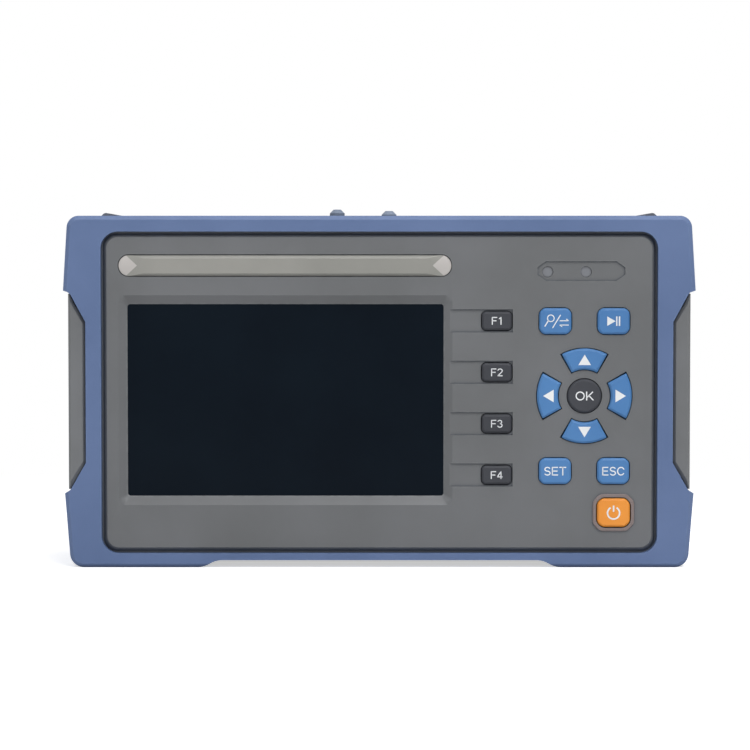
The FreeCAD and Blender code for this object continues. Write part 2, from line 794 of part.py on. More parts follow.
def side_grip(name, side):
    """A stiff pad that wraps the case's edge and fills the boot's side window."""
    body = new_body(name)
    edge = "grip_width / 2"
    outline = [("side_inner_x + grip_gap", "side_low_bend_z + grip_gap / 2"),
               (edge, "side_low_z + grip_gap"),
               (edge, "side_high_z - grip_gap"),
               ("side_inner_x + grip_gap", "side_high_bend_z - grip_gap / 2")]
    mirrored = [(f"{side}({x})", z) for x, z in outline]
    add(body, polygon(mirrored), "grip_back", "grip_front")
    dress(body, "Chamfer", "grip_bevel",
          lambda e: lies_at(e, "grip_front") or (runs_through(e)
          and abs(abs(e.CenterOfMass.x) - value(edge)) < NEAR))
    step = [(f"{side}(case_width / 2)", "0"), (f"{side}(side_inner_x - 5)", "0"),
            (f"{side}(side_inner_x - 5)", "boot_height"), (f"{side}(case_width / 2)", "boot_height")]
    cut(body, polygon(step), "shoulder_front", "grip_back - 1")
    groove = eased("grip_groove_length", "grip_groove_width", "grip_groove_width / 4")
    middle = "(side_low_z + side_high_z) / 2 - 3 * grip_groove_pitch"
    plane_level = f"{side}(grip_width / 2 - grip_groove)"
    sketch = make_sketch(body, "YZ_Plane", plane_level, ("-(grip_front + grip_back) / 2", middle))
    groove(sketch)
    pocket = body.newObject("PartDesign::Pocket", name + "_pocket")
    pocket.Profile = sketch
    pocket.Reversed = side == ""
    pocket.setExpression("Length", formula("grip_groove + 1"))
    pattern(body, "LinearPattern", pocket, "V_Axis", 7, "6 * grip_groove_pitch")
    return body


def lamp_pad():
    """The octagon of the indicator recess, about its own middle."""
    width, height, cut_x, cut_z = ("lamp_pad_width / 2", "lamp_pad_height / 2",
                                   "lamp_pad_cut_x", "lamp_pad_cut_z")
    return polygon([(f"{cut_x} - {width}", f"-{height}"), (f"{width} - {cut_x}", f"-{height}"),
                    (width, f"{cut_z} - {height}"), (width, f"{height} - {cut_z}"),
                    (f"{width} - {cut_x}", height), (f"{cut_x} - {width}", height),
                    (f"-{width}", f"{height} - {cut_z}"), (f"-{width}", f"{cut_z} - {height}")])


def front_housing():
    """The front half of the case: panel, screen window, pockets, key holes and inner bosses."""
    body = new_body("front_housing")
    add(body, case_outline(), "split_level", "shoulder_front")
    add(body, panel_outline(), "shoulder_front", "panel_front")
    dress(body, "Chamfer", "panel_bevel", lambda e: lies_at(e, "panel_front"))
    cut(body, inner_case(), "front_floor", "split_level")
    cut(body, rectangle("case_wall - panel_width / 2", "panel_width / 2 - case_wall",
                        "panel_low + case_wall", "panel_high - case_wall"),
        "panel_floor", "front_floor")
    add(body, together([hexagons(CASE_SPOTS, "case_boss_width")]), "split_level", "front_floor")
    add(body, hexagons(KEY_BOARD_SPOTS, "boss_width"), "mat_back", "panel_floor")
    add(body, hexagons(BRACKET_SPOTS, "boss_width"), "lcd_back", "panel_floor", at=WINDOW)
    cut(body, hexagons(CASE_SPOTS, "case_screw_width"),
        "split_level + case_thread_length", "split_level")
    cut(body, hexagons(KEY_BOARD_SPOTS, "small_screw_width"), "panel_floor", "mat_back")
    cut(body, hexagons(BRACKET_SPOTS, "small_screw_width"), "panel_floor", "lcd_back", at=WINDOW)
    cut(body, together([seal_outline("seal_width / 2"), seal_outline("-seal_width / 2")]),
        "split_level + seal_deep", "split_level")
    loft(body, "SubtractiveLoft", [window_outline("window_bevel"), window_outline()],
         ["panel_front", "lens_front"], WINDOW)
    cut(body, rectangle(*LENS_SEAT), "lens_front", "panel_floor", at=WINDOW)
    cut(body, rounded("strip_width + 2 * strip_gap", "strip_height + 2 * strip_gap",
                      "strip_radius + strip_gap"),
        "panel_front", "strip_floor", at=("strip_x", "strip_z"))
    cut(body, lamp_pad(), "panel_front", "lamp_floor", at=("lamp_pad_x", "lamp_pad_z"))
    right = "soft_key_x + soft_key_width / 2"
    pocket = cut(body, rectangle("soft_pocket_left", right, "-soft_pocket_height / 2",
                                 "soft_pocket_height / 2"),
                 "panel_front", "soft_floor", at=("0", "soft_key_z - 3 * soft_key_pitch"))
    pattern(body, "LinearPattern", pocket, "V_Axis", 4, "3 * soft_key_pitch")
    hole = cut(body, eased("soft_key_width", "soft_key_height", "soft_key_radius"),
               "panel_front", "panel_floor", at=("soft_key_x", "soft_key_z - 3 * soft_key_pitch"))
    pattern(body, "LinearPattern", hole, "V_Axis", 4, "3 * soft_key_pitch")
    blue = [eased("blue_key_width", "blue_key_height", "blue_key_radius", z, x)
            for x, z in BLUE_KEYS.values()]
    lamps = [circles(LAMP_SPOTS, "lamp_width"), circles([DPAD], "2 * ok_radius")]
    cut(body, together(blue + lamps), "panel_front", "panel_floor")
    arrow = cut(body, ring_sector("arrow_inner", "arrow_outer", "arrow_half_angle"),
                "panel_front", "panel_floor", at=DPAD)
    pattern(body, "PolarPattern", arrow, "N_Axis", 4, "0")
    power = ("power_x", "power_z")
    add(body, eased("power_width + 2 * power_rim", "power_height + 2 * power_rim",
                    "power_radius + power_rim / 2"),
        "panel_front", "panel_front + power_rim_rise", at=power)
    dress(body, "Chamfer", "power_rim_rise / 2",
          lambda e: lies_at(e, "panel_front + power_rim_rise"))
    cut(body, eased("power_width", "power_height", "power_radius"),
        "panel_front + power_rim_rise", "panel_floor", at=power)
    return body


def seal_outline(grow):
    """The line that the seal follows, half-way through the case's wall."""
    return eased(f"case_width - case_wall + 2 * ({grow})", f"case_height - case_wall + 2 * ({grow})",
                 "case_radius", "case_mid")


def inner_case():
    """The inside of the case's walls, with cut corners."""
    return eased("case_width - 2 * case_wall", "case_height - 2 * case_wall",
                 "case_radius", "case_mid")


def case_seal():
    body = new_body("case_seal")
    add(body, together([seal_outline("seal_width / 2"), seal_outline("-seal_width / 2")]),
        "split_level", "split_level + seal_deep")
    return body


def stand_outline(grow="0"):
    """The U of the stand, or of the recess around it, up to its axis."""
    outer, inner = f"stand_outer_x + {grow}", f"stand_inner_x - {grow}"
    low, bar = f"stand_low - {grow}", f"stand_low + stand_bar + {grow}"
    top = f"stand_top + {grow}"
    return polygon([(f"-({outer})", low), (outer, low), (outer, top), (inner, top), (inner, bar),
                    (f"-({inner})", bar), (f"-({inner})", top), (f"-({outer})", top)])


def rear_housing():
    """The back half of the case: battery bay, port bay, stand recess, vents and screw bosses."""
    body = new_body("rear_housing")
    add(body, case_outline(), "shoulder_back", "split_level")
    add(body, back_panel_outline(), "back_panel_face", "shoulder_back")
    dress(body, "Chamfer", "panel_bevel", lambda e: lies_at(e, "back_panel_face"))
    cut(body, inner_case(), "split_level", "back_floor")
    half = "bay_width / 2 + bay_side_wall"
    add(body, rectangle(f"-({half})", half, "bay_low - bay_wall", "bay_high + bay_wall"),
        "back_floor", "bay_back_level")
    cut(body, rectangle("-bay_width / 2", "bay_width / 2", "bay_low", "bay_high"),
        "bay_floor_level", "back_panel_face")
    cut(body, eased("cover_width + 2 * cover_gap", "cover_high - cover_low + 2 * cover_gap",
                    "cover_radius", "cover_mid"), "cover_seat", "back_panel_face")
    cut(body, hexagons(COVER_SPOTS, "small_screw_width"),
        "cover_seat + small_screw_length", "cover_seat")
    add(body, hexagons(STANDOFF_SPOTS, "standoff_width"), "bay_back_level", "main_board_back")
    cut(body, hexagons(STANDOFF_SPOTS, "small_screw_width"), "main_board_back",
        "bay_back_level - bay_wall / 2")
    add(body, rectangle("port_bay_left - port_bay_wall", "port_bay_right + port_bay_wall",
                        "port_y - port_bay_deep / 2 - port_bay_wall",
                        "port_y + port_bay_deep / 2 + port_bay_wall"),
        "port_z - port_bay_wall", "case_top - case_wall / 2", "XY_Plane")
    cut(body, eased("port_bay_width", "port_bay_deep", "port_bay_radius"),
        "case_top", "port_z", "XY_Plane", ("port_bay_x", "port_y"))
    cut(body, together([squares(PORT_SPOTS, "port_tail_width + 2 * port_tail_gap"),
                        squares(FLANGE_SPOTS, "flange_screw_width")]),
        "port_z", "port_z - port_bay_wall", "XY_Plane")
    sockets = [rectangle(f"{x} - {width} / 2 - socket_gap", f"{x} + {width} / 2 + socket_gap",
                         "-main_board_back - socket_gap", f"-main_board_back + {thick} + socket_gap")
               for x, width, thick in (("usb_x", "usb_width", "usb_thick"),
                                       ("micro_x", "micro_width", "micro_thick"),
                                       ("jack_x", "jack_width", "jack_thick"))]
    cut(body, together(sockets), "case_top", "case_top - case_wall", "XY_Plane")
    cut(body, stand_outline("stand_gap"), "stand_floor", "back_panel_face")
    nick_low = "stand_low + stand_bar"
    cut(body, rectangle("-nick_width / 2", "nick_width / 2", nick_low, f"{nick_low} + nick_height"),
        "stand_floor", "back_panel_face")
    slot_half = "speaker_slot_width / 2", "speaker_slot_height / 2"
    slot = cut(body, rectangle("-" + slot_half[0], slot_half[0], "-" + slot_half[1], slot_half[1]),
               "back_floor", "back_panel_face",
               at=("speaker_x", "speaker_z - 2 * speaker_slot_pitch"))
    pattern(body, "LinearPattern", slot, "V_Axis", 5, "4 * speaker_slot_pitch")
    add(body, hexagons(CASE_SPOTS, "case_boss_width"), "back_floor", "split_level")
    cut(body, hexagons(CASE_SPOTS, "case_screw_width + 2 * case_screw_gap"),
        "split_level", "shoulder_back")
    cut(body, hexagons(CASE_SPOTS, "case_head_width + 2 * case_screw_gap"),
        "case_head_floor", "shoulder_back")
    add_pin_seats(body)
    return body


def add_pin_seats(body):
    """Blind holes beside the stand's recess that the hinge pins are pressed into."""
    for side in ("", "-"):
        sketch = make_sketch(body, "YZ_Plane", f"{side}(stand_outer_x + stand_gap)",
                             ("-stand_axis_level", "stand_axis_z"))
        circles([("0", "0")], "stand_pin_width")(sketch)
        pocket = body.newObject("PartDesign::Pocket", "pin_seat")
        pocket.Profile = sketch
        pocket.Reversed = side == ""
        pocket.setExpression("Length", formula("stand_pin_bite"))


def battery_cover():
    body = new_body("battery_cover")
    add(body, eased("cover_width", "cover_high - cover_low", "cover_radius", "cover_mid"),
        "back_panel_face", "cover_seat")
    dress(body, "Chamfer", "cover_rib_deep", lambda e: lies_at(e, "back_panel_face"))
    cut(body, hexagons(COVER_SPOTS, "small_screw_width + small_screw_gap"),
        "cover_seat", "back_panel_face")
    cut(body, circles(COVER_SPOTS, "small_head_width * 2 / sqrt(3) + 2 * small_screw_gap"),
        "back_panel_face + small_head_thick", "back_panel_face")
    rib = cut(body, eased("cover_rib_length", "cover_rib_width", "cover_rib_width / 3"),
              "back_panel_face + cover_rib_deep", "back_panel_face",
              at=("0", "cover_mid - 2 * cover_rib_pitch"))
    pattern(body, "LinearPattern", rib, "V_Axis", 5, "4 * cover_rib_pitch")
    return body


def kick_stand():
    """A U-shaped bail whose leg ends turn on two pins."""
    body = new_body("kick_stand")
    add(body, stand_outline(), "stand_face", "stand_face + stand_thick")
    dress(body, "Chamfer", "stand_radius",
          lambda e: runs_through(e) and e.CenterOfMass.z < value("stand_low") + 1)
    dress(body, "Chamfer", "stand_thick / 3",
          lambda e: abs(e.CenterOfMass.z - value("stand_top")) < NEAR and not runs_through(e)
          and abs(abs(e.Vertexes[0].X - e.Vertexes[-1].X) - value("stand_leg")) < NEAR)
    sketch = make_sketch(body, "YZ_Plane", "0", ("-stand_axis_level", "stand_axis_z"))
    circles([("0", "0")], "stand_pin_width + 2 * stand_pin_fit")(sketch)
    pocket = body.newObject("PartDesign::Pocket", "pin_hole")
    pocket.Profile = sketch
    pocket.Midplane = True
    pocket.setExpression("Length", formula("2 * stand_outer_x + 2"))
    return body


def stand_pins():
    """Two pins, pressed into the case and running in the stand's legs."""
    body = new_body("stand_pins")
    for side in ("", "-"):
        sketch = make_sketch(body, "YZ_Plane", f"{side}(stand_inner_x)",
                             ("-stand_axis_level", "stand_axis_z"))
        circles([("0", "0")], "stand_pin_width")(sketch)
        pad = body.newObject("PartDesign::Pad", "pin_pad")
        pad.Profile = sketch
        pad.Reversed = side == "-"
        pad.setExpression("Length", formula("stand_leg + stand_gap + stand_pin_bite"))
    return body


# ---- screen ---------------------------------------------------------------------------

def plate(name, draw, low, high, at=("0", "0"), plane="XZ_Plane"):
    body = new_body(name)
    add(body, draw, low, high, plane, at)
    return body


def lcd_gasket():
    outer = [f"{half} + gasket_margin" for half in LENS_HALF]
    inner = ["window_width / 2 + gasket_margin", "window_height / 2 + gasket_margin"]
    frame = [rectangle(f"-({wide})", wide, f"-({high})", high) for wide, high in (outer, inner)]
    return plate("lcd_gasket", together(frame), "lcd_front", "panel_floor", WINDOW)


def lcd_bracket():
    wide, high = "lcd_width / 2", "bracket_height / 2"
    inner_wide, inner_high = f"{wide} - bracket_frame", f"{high} - bracket_frame"
    frame = [rectangle(f"-{wide}", wide, f"-{high}", high),
             rectangle(f"bracket_frame - {wide}", inner_wide, f"bracket_frame - {high}", inner_high)]
    body = plate("lcd_bracket", together(frame), "bracket_back", "lcd_back", WINDOW)
    cut(body, hexagons(BRACKET_SPOTS, "small_screw_width + small_screw_gap"),
        "lcd_back", "bracket_back", at=WINDOW)
    return body


def title_strip():
    """A bare pill-shaped bar with sloping edges."""
    spot = ("strip_x", "strip_z")
    outline = rounded("strip_width", "strip_height", "strip_radius")
    body = plate("title_strip", outline, "strip_floor", "panel_front", spot)
    ridge = rounded("strip_width - 2 * strip_slope", "strip_height - 2 * strip_slope",
                    "strip_radius - strip_slope")
    loft(body, "AdditiveLoft", [outline, ridge], ["panel_front", "panel_front + strip_rise"], spot)
    return body


# ---- keys -----------------------------------------------------------------------------

def finish_key(body, top, stem_at):
    dress(body, "Chamfer", "key_bevel", lambda e: lies_at(e, top))
    add(body, squares([stem_at], "key_stem"), "stem_end", "lip_back")
    return body


def block_key(name, at, width, height, corner, proud):
    """A cap in its hole, a lip behind the panel and a stem over its switch."""
    top = f"panel_front + {proud}"
    body = new_body(name)
    wide, high = f"{width} / 2 + key_lip", f"{height} / 2 + key_lip"
    add(body, rectangle(f"-({wide})", wide, f"-({high})", high), "lip_back", "panel_floor", at=at)
    add(body, eased(f"{width} - 2 * key_gap", f"{height} - 2 * key_gap", f"{corner} - key_gap"),
        "panel_floor", top, at=at)
    return finish_key(body, top, at)


def ok_key():
    top = "panel_front + key_proud"
    body = new_body("key_ok")
    add(body, hexagons([DPAD], "2 * ok_radius + key_lip / 2"), "lip_back", "panel_floor")
    add(body, circles([DPAD], "2 * (ok_radius - key_gap)"), "panel_floor", top)
    return finish_key(body, top, DPAD)


def arrow_key(name, turn):
    """A quarter of the ring of arrows, drawn above the ring's middle and turned to its place."""
    top = "panel_front + key_proud"
    spread = "arrow_half_angle - key_gap * 180 / (pi * arrow_inner)"
    body = new_body(name)
    lip = []
    for reach, sides in (("(arrow_inner - key_lip / 2)", (-1, 0, 1)),
                         ("(arrow_outer + key_lip)", (1, 0, -1))):
        for side in sides:
            angle = f"{side} * (arrow_half_angle + arrow_lip_angle)"
            lip.append((f"{reach} * sin({angle})", f"{reach} * cos({angle})"))
    add(body, polygon(lip), "lip_back", "panel_floor")
    add(body, ring_sector("arrow_inner + key_gap", "arrow_outer - key_gap", spread),
        "panel_floor", top)
    finish_key(body, top, ("0", ARROW_MIDDLE))
    body.setExpression("Placement.Base.x", formula("pad_x"))
    body.setExpression("Placement.Base.z", formula("pad_z"))
    body.setExpression("Placement.Rotation.Axis.y", "-1")
    body.setExpression("Placement.Rotation.Axis.z", "0")
    body.setExpression("Placement.Rotation.Angle", str(turn))
    return body


def keys():
    made = [block_key(name, spot, "soft_key_width", "soft_key_height", "soft_key_radius",
                      "soft_key_proud") for name, spot in SOFT_KEYS.items()]
    made += [block_key(name, spot, "blue_key_width", "blue_key_height", "blue_key_radius",
                       "key_proud") for name, spot in BLUE_KEYS.items()]
    made += [arrow_key(name, turn) for name, turn in ARROWS.items()]
    made += [ok_key(), block_key("key_power", ("power_x", "power_z"), "power_width",
                                 "power_height", "power_radius", "key_proud")]
    return made


def keypad_mat():
    body = plate("keypad_mat", rectangle("key_board_left + mat_inset", "key_board_right - mat_inset",
                                         "key_board_low + mat_inset", "key_board_high - mat_inset"),
                 "mat_back", "mat_front")
    cut(body, squares(KEY_SPOTS + LAMP_SPOTS, "mat_hole"), "mat_front", "mat_back")
    cut(body, hexagons(KEY_BOARD_SPOTS, "boss_width + 2 * boss_hole_gap"), "mat_front", "mat_back")
    return body


def dome_switches():
    return plate("dome_switches", squares(KEY_SPOTS, "switch_width"), "mat_back",
                 "mat_back + switch_thick")


def key_board():
    body = plate("key_board", rectangle("key_board_left", "key_board_right",
                                        "key_board_low", "key_board_high"),
                 "key_board_back", "mat_back")
    cut(body, hexagons(KEY_BOARD_SPOTS, "small_screw_width + small_screw_gap"),
        "mat_back", "key_board_back")
    return body


def light_pipes():
    return plate("light_pipes", circles(LAMP_SPOTS, "lamp_width - 2 * lamp_fit"),
                 "mat_back + led_thick", "lamp_floor - lamp_sink")


def screws(name, spots, face, head, shank, at=("0", "0"), plane="XZ_Plane", forward=True):
    """A group of equal screws: each head lies on a face and its shank goes on from there."""
    head_width, head_thick = head
    width, length = shank
    body = new_body(name)
    head_span = (f"{face} - {head_thick}", face) if forward else (face, f"{face} + {head_thick}")
    shank_span = (face, f"{face} + {length}") if forward else (f"{face} - {length}", face)
    add(body, hexagons(spots, head_width), *head_span, plane, at)
    add(body, hexagons(spots, width), *shank_span, plane, at)
    return body


# ---- electronics and optics -----------------------------------------------------------

def main_board():
    outline = [("-main_board_half_width", "main_board_low"), ("main_board_half_width", "main_board_low"),
               ("main_board_half_width", "main_board_tab_high"),
               ("main_board_tab_left", "main_board_tab_high"),
               ("main_board_tab_left", "main_board_high"),
               ("-main_board_half_width", "main_board_high")]
    body = plate("main_board", polygon(outline), "main_board_back", "main_board_front")
    cut(body, hexagons(STANDOFF_SPOTS, "small_screw_width + small_screw_gap"),
        "main_board_front", "main_board_back")
    return body


def battery_pack():
    outline = eased("bay_width - 2 * pack_gap", "bay_high - bay_low - 2 * pack_gap",
                    "pack_radius", "bay_mid")
    return plate("battery_pack", outline, "cover_seat + pack_gap", "bay_floor_level")


def otdr_module():
    """The laser and receiver in their metal box, with a raised lid."""
    level = "main_board_back - module_thick"
    middle = ("(module_left + module_right) / 2", "(module_low + module_high) / 2")
    wide, high = "(module_right - module_left) / 2", "(module_high - module_low) / 2"
    lid_wide, lid_high = f"{wide} - module_lid_inset", f"{high} - module_lid_inset"
    body = plate("otdr_module", eased(f"2 * {wide}", f"2 * {high}", "module_radius"),
                 level, "main_board_back", middle)
    add(body, rectangle(f"-({lid_wide})", lid_wide, f"-({lid_high})", lid_high),
        f"{level} - module_lid", level, at=middle)
    return body


def fibre_coil():
    """Turns of fibre, wound flat round the module's lid."""
    low = "main_board_back - module_thick - module_lid"
    turns = []
    for reach in ("coil_radius", "(coil_radius - coil_width)"):
        turns.append(eased(f"2 * {reach}", f"2 * {reach}", f"{reach} * (2 - sqrt(2))"))
    return plate("fibre_coil", together(turns), f"{low} - coil_thick", low,
                 ("(module_left + module_right) / 2", "(module_low + module_high) / 2"))


def fibre_adapter(name, port_x):
    """A threaded ferrule port: flange on the bay's floor, thread above it, tail below."""
    body = new_body(name)
    spot = (port_x, "port_y")
    add(body, eased("flange_width", "flange_width", "flange_corner"), "port_z",
        "port_z + flange_thick", "XY_Plane", spot)
    add(body, circles([spot], "port_thread_width"), "port_z + flange_thick", "port_top_z", "XY_Plane")
    add(body, squares([spot], "port_tail_width"), "port_tail_z", "port_z", "XY_Plane")
    cut(body, circles([spot], "port_bore"), "port_top_z", "port_z", "XY_Plane")
    holes = [(port_x + " + " + side, "port_y + " + side) for side in both("flange_screw_offset")]
    cut(body, squares(holes, "flange_screw_width"), "port_z + flange_thick", "port_z", "XY_Plane")
    return body


def dust_cap(name, port_x, tip):
    """A cap over the thread, drawn in to a narrow round tip to pull it by."""
    body = new_body(name)
    low = "port_z + flange_thick + cap_seat_gap"
    inner_top = "port_top_z + cap_seat_gap"
    shoulder = f"{inner_top} + cap_top_wall"
    bore, outer = "port_thread_width / 2 + cap_fit", "cap_width / 2"
    profile = [(bore, low), (outer, low), (outer, shoulder), ("cap_tip_width / 2", shoulder),
               ("cap_tip_width / 2", f"{tip} - cap_tip_width / 4"),
               ("cap_tip_width / 4", tip), ("0", tip), ("0", inner_top), (bore, inner_top)]
    revolve(body, profile, (port_x, "0"), "-port_y")
    return body


def usb_socket():
    body = new_body("usb_socket")
    back, low = "-main_board_back", "socket_top - usb_length"
    add(body, rectangle("usb_x - usb_width / 2", "usb_x + usb_width / 2", back, f"{back} + usb_thick"),
        low, "socket_top", "XY_Plane")
    cut(body, rectangle("usb_x - usb_width / 2 + usb_shell", "usb_x + usb_width / 2 - usb_shell",
                        f"{back} + usb_shell", f"{back} + usb_thick - usb_shell"),
        "socket_top", f"{low} + usb_back", "XY_Plane")
    tongue = f"{back} + usb_shell + usb_tongue_gap"
    add(body, rectangle("usb_x - usb_width / 2 + usb_tongue_side", "usb_x + usb_width / 2 - usb_tongue_side",
                        tongue, f"{tongue} + usb_tongue"),
        f"{low} + usb_back", "socket_top - usb_tongue_side", "XY_Plane")
    return body


def micro_socket():
    body = new_body("micro_usb_socket")
    back, low = "-main_board_back", "socket_top - micro_length"
    add(body, rectangle("micro_x - micro_width / 2", "micro_x + micro_width / 2", back,
                        f"{back} + micro_thick"), low, "socket_top", "XY_Plane")
    cut(body, rectangle("micro_x - micro_width / 2 + micro_shell", "micro_x + micro_width / 2 - micro_shell",
                        f"{back} + micro_shell", f"{back} + micro_thick - micro_shell"),
        "socket_top", "socket_top - micro_deep", "XY_Plane")
    return body


def dc_jack():
    body = new_body("dc_jack")
    back = "-main_board_back"
    middle = [("jack_x", f"{back} + jack_thick / 2")]
    add(body, rectangle("jack_x - jack_width / 2", "jack_x + jack_width / 2", back,
                        f"{back} + jack_thick"), "socket_top - jack_length", "socket_top", "XY_Plane")
    cut(body, circles(middle, "jack_bore"), "socket_top", "socket_top - jack_bore_deep", "XY_Plane")
    add(body, squares(middle, "jack_pin"), "socket_top - jack_bore_deep", "socket_top - jack_pin_drop",
        "XY_Plane")
    return body


def port_flap():
    """A rubber lid over the sockets, flush with the boot's top."""
    body = new_body("port_flap")
    add(body, eased("flap_width", "flap_deep", "flap_radius"), "case_top + boot_fit", "flap_top",
        "XY_Plane", ("flap_x", "flap_y"))
    dress(body, "Chamfer", "flap_edge",
          lambda e: all(abs(v.Z - value("flap_top")) < NEAR for v in e.Vertexes)
          and e.CenterOfMass.y < value("flap_y"))
    return body


def make_parts():
    parts = [protective_boot(), front_housing(), rear_housing(), case_seal(),
             side_grip("side_grip_left", "-"), side_grip("side_grip_right", ""),
             plate("lcd_lens", rectangle(f"-({LENS_HALF[0]})", LENS_HALF[0],
                                         f"-({LENS_HALF[1]})", LENS_HALF[1]),
                   "panel_floor", "lens_front", WINDOW),
             lcd_gasket(),
             plate("lcd_panel", rectangle("-lcd_width / 2", "lcd_width / 2",
                                          "-lcd_height / 2", "lcd_height / 2"),
                   "lcd_back", "lcd_front", WINDOW),
             lcd_bracket(), title_strip(), battery_cover(), kick_stand(), stand_pins()]
    parts += keys()
    parts += [keypad_mat(), dome_switches(), key_board(), light_pipes()]
    parts.append(plate("indicator_leds", squares(LAMP_SPOTS, "led_width"), "mat_back",
                       "mat_back + led_thick"))
    parts += [main_board(), battery_pack(), otdr_module(), fibre_coil(),
              fibre_adapter("otdr_adapter", "otdr_port_x"), fibre_adapter("vfl_adapter", "vfl_port_x"),
              dust_cap("otdr_dust_cap", "otdr_port_x", "cap_tip_z"),
              dust_cap("vfl_dust_cap", "vfl_port_x", "cap_tip_z - vfl_cap_drop"),
              usb_socket(), micro_socket(), dc_jack(), port_flap()]
    parts.append(plate("processor_shield", eased("shield_width", "shield_height", "shield_corner"),
                       "main_board_front", "main_board_front + shield_thick",
                       ("shield_x", "shield_z")))
    parts.append(plate("clock_cell", hexagons([("cell_x", "cell_z")], "cell_width"),
                       "main_board_front", "main_board_front + cell_thick"))
    parts.append(plate("vfl_laser", circles([("vfl_port_x", "port_y")], "laser_width"),
                       "port_tail_z - laser_length", "port_tail_z", plane="XY_Plane"))
    parts.append(plate("speaker", eased("speaker_width", "speaker_width", "speaker_corner"),
                       "back_floor", "back_floor + speaker_thick", ("speaker_x", "speaker_z")))
    head, shank = ("small_head_width", "small_head_thick"), ("small_screw_width", "small_screw_length")
    parts.append(screws("case_screws", CASE_SPOTS, "case_head_floor",
                        ("case_head_width", "case_head_thick"),
                        ("case_screw_width", "split_level + case_thread_length - case_head_floor - 1")))
    parts.append(screws("key_board_screws", KEY_BOARD_SPOTS, "key_board_back", head, shank))
    parts.append(screws("bracket_screws", BRACKET_SPOTS, "bracket_back", head, shank, WINDOW))
    parts.append(screws("cover_screws", COVER_SPOTS, "back_panel_face + small_head_thick", head, shank))
    parts.append(screws("board_screws", STANDOFF_SPOTS, "main_board_front", head, shank, forward=False))
    parts.append(screws("adapter_screws", FLANGE_SPOTS, "port_z + flange_thick",
                        ("flange_head_width", "flange_head_thick"),
                        ("flange_screw_width - flange_screw_gap", "flange_screw_length"),
                        plane="XY_Plane", forward=False))
    return parts


def check(parts):
    doc.recompute()
    for item in doc.Objects:
        if {"Invalid", "Error"} & set(item.State):
            raise RuntimeError(f"{item.Name} failed: {item.State}")
    for part in parts:
        if part.Shape.isNull() or not part.Shape.isValid():
            raise RuntimeError(f"{part.Label} has no valid shape")


fill_sheets()
made = make_parts()
check(made)
os.makedirs("parts", exist_ok=True)
for part in made:
    part.Shape.exportStep(f"parts/{part.Label}.step")
    print(part.Label, len(part.Shape.Solids), round(part.Shape.Volume, 1))
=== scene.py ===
import json
import math

import bmesh
import bpy
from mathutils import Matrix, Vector


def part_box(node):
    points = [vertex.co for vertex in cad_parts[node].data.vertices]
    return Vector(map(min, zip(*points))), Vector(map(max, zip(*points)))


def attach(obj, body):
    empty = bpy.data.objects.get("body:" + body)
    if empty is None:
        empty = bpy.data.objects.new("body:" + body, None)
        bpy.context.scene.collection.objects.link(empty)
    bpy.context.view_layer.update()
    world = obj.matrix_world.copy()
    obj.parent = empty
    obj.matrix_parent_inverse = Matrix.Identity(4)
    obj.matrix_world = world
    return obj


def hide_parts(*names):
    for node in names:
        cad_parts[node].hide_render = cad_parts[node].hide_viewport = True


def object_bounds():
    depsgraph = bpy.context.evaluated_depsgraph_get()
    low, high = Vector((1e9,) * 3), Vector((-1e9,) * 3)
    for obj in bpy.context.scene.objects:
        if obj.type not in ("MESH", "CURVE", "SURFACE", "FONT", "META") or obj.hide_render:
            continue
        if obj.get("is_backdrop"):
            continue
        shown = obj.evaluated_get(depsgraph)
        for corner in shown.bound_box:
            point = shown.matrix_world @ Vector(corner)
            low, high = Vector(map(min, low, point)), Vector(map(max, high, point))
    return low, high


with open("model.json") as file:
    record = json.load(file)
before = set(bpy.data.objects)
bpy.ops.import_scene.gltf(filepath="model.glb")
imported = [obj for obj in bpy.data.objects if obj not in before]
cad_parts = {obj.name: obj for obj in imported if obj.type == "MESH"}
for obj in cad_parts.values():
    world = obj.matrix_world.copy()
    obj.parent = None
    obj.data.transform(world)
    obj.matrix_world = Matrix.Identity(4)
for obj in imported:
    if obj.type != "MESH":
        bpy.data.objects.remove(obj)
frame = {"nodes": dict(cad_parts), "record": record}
nodes = frame["nodes"]
cadLow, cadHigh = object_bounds()
print("frame:", len(nodes), "nodes")

mm = 0.001
bodyOf = {}  # the body that carries each node
for bodyName, members in frame["record"]["behaviour"]["bodies"].items():
    for member in members:
        bodyOf[member] = bodyName

slotOf = {}  # the material slot of each node
for nodeName, node in nodes.items():
    slotOf[nodeName] = node.material_slots[0].material.name
for plain in list(bpy.data.materials):
    bpy.data.materials.remove(plain)


def shade(red, green, blue):
    # a colour on the usual 0 to 255 scale, as the shader wants it
    return tuple((c / 255 / 12.92 if c <= 10 else ((c / 255 + 0.055) / 1.055) ** 2.4)
                 for c in (red, green, blue)) + (1.0,)


def link(tree, start, end):
    tree.links.new(start, end)


def mathNode(tree, operation, first, second):
    made = tree.nodes.new("ShaderNodeMath")
    made.operation = operation
    for socket, value in zip(made.inputs, (first, second)):
        if isinstance(value, (int, float)):
            socket.default_value = value
        else:
            link(tree, value, socket)
    return made.outputs[0]


def ranged(tree, value, lowIn, highIn, lowOut=0.0, highOut=1.0, kind="LINEAR"):
    made = tree.nodes.new("ShaderNodeMapRange")
    made.interpolation_type = kind
    link(tree, value, made.inputs["Value"])
    for label, number in (("From Min", lowIn), ("From Max", highIn),
                          ("To Min", lowOut), ("To Max", highOut)):
        made.inputs[label].default_value = number
    return made.outputs["Result"]


# the camera stands straight in front, tilted down a little
view = {"distance": 0.75, "lens": 103.6, "sensor": 36, "nearest": 0.01, "tilt": 2.0,
        "aimX": -1.5 * mm, "aimZ": 67.2 * mm}

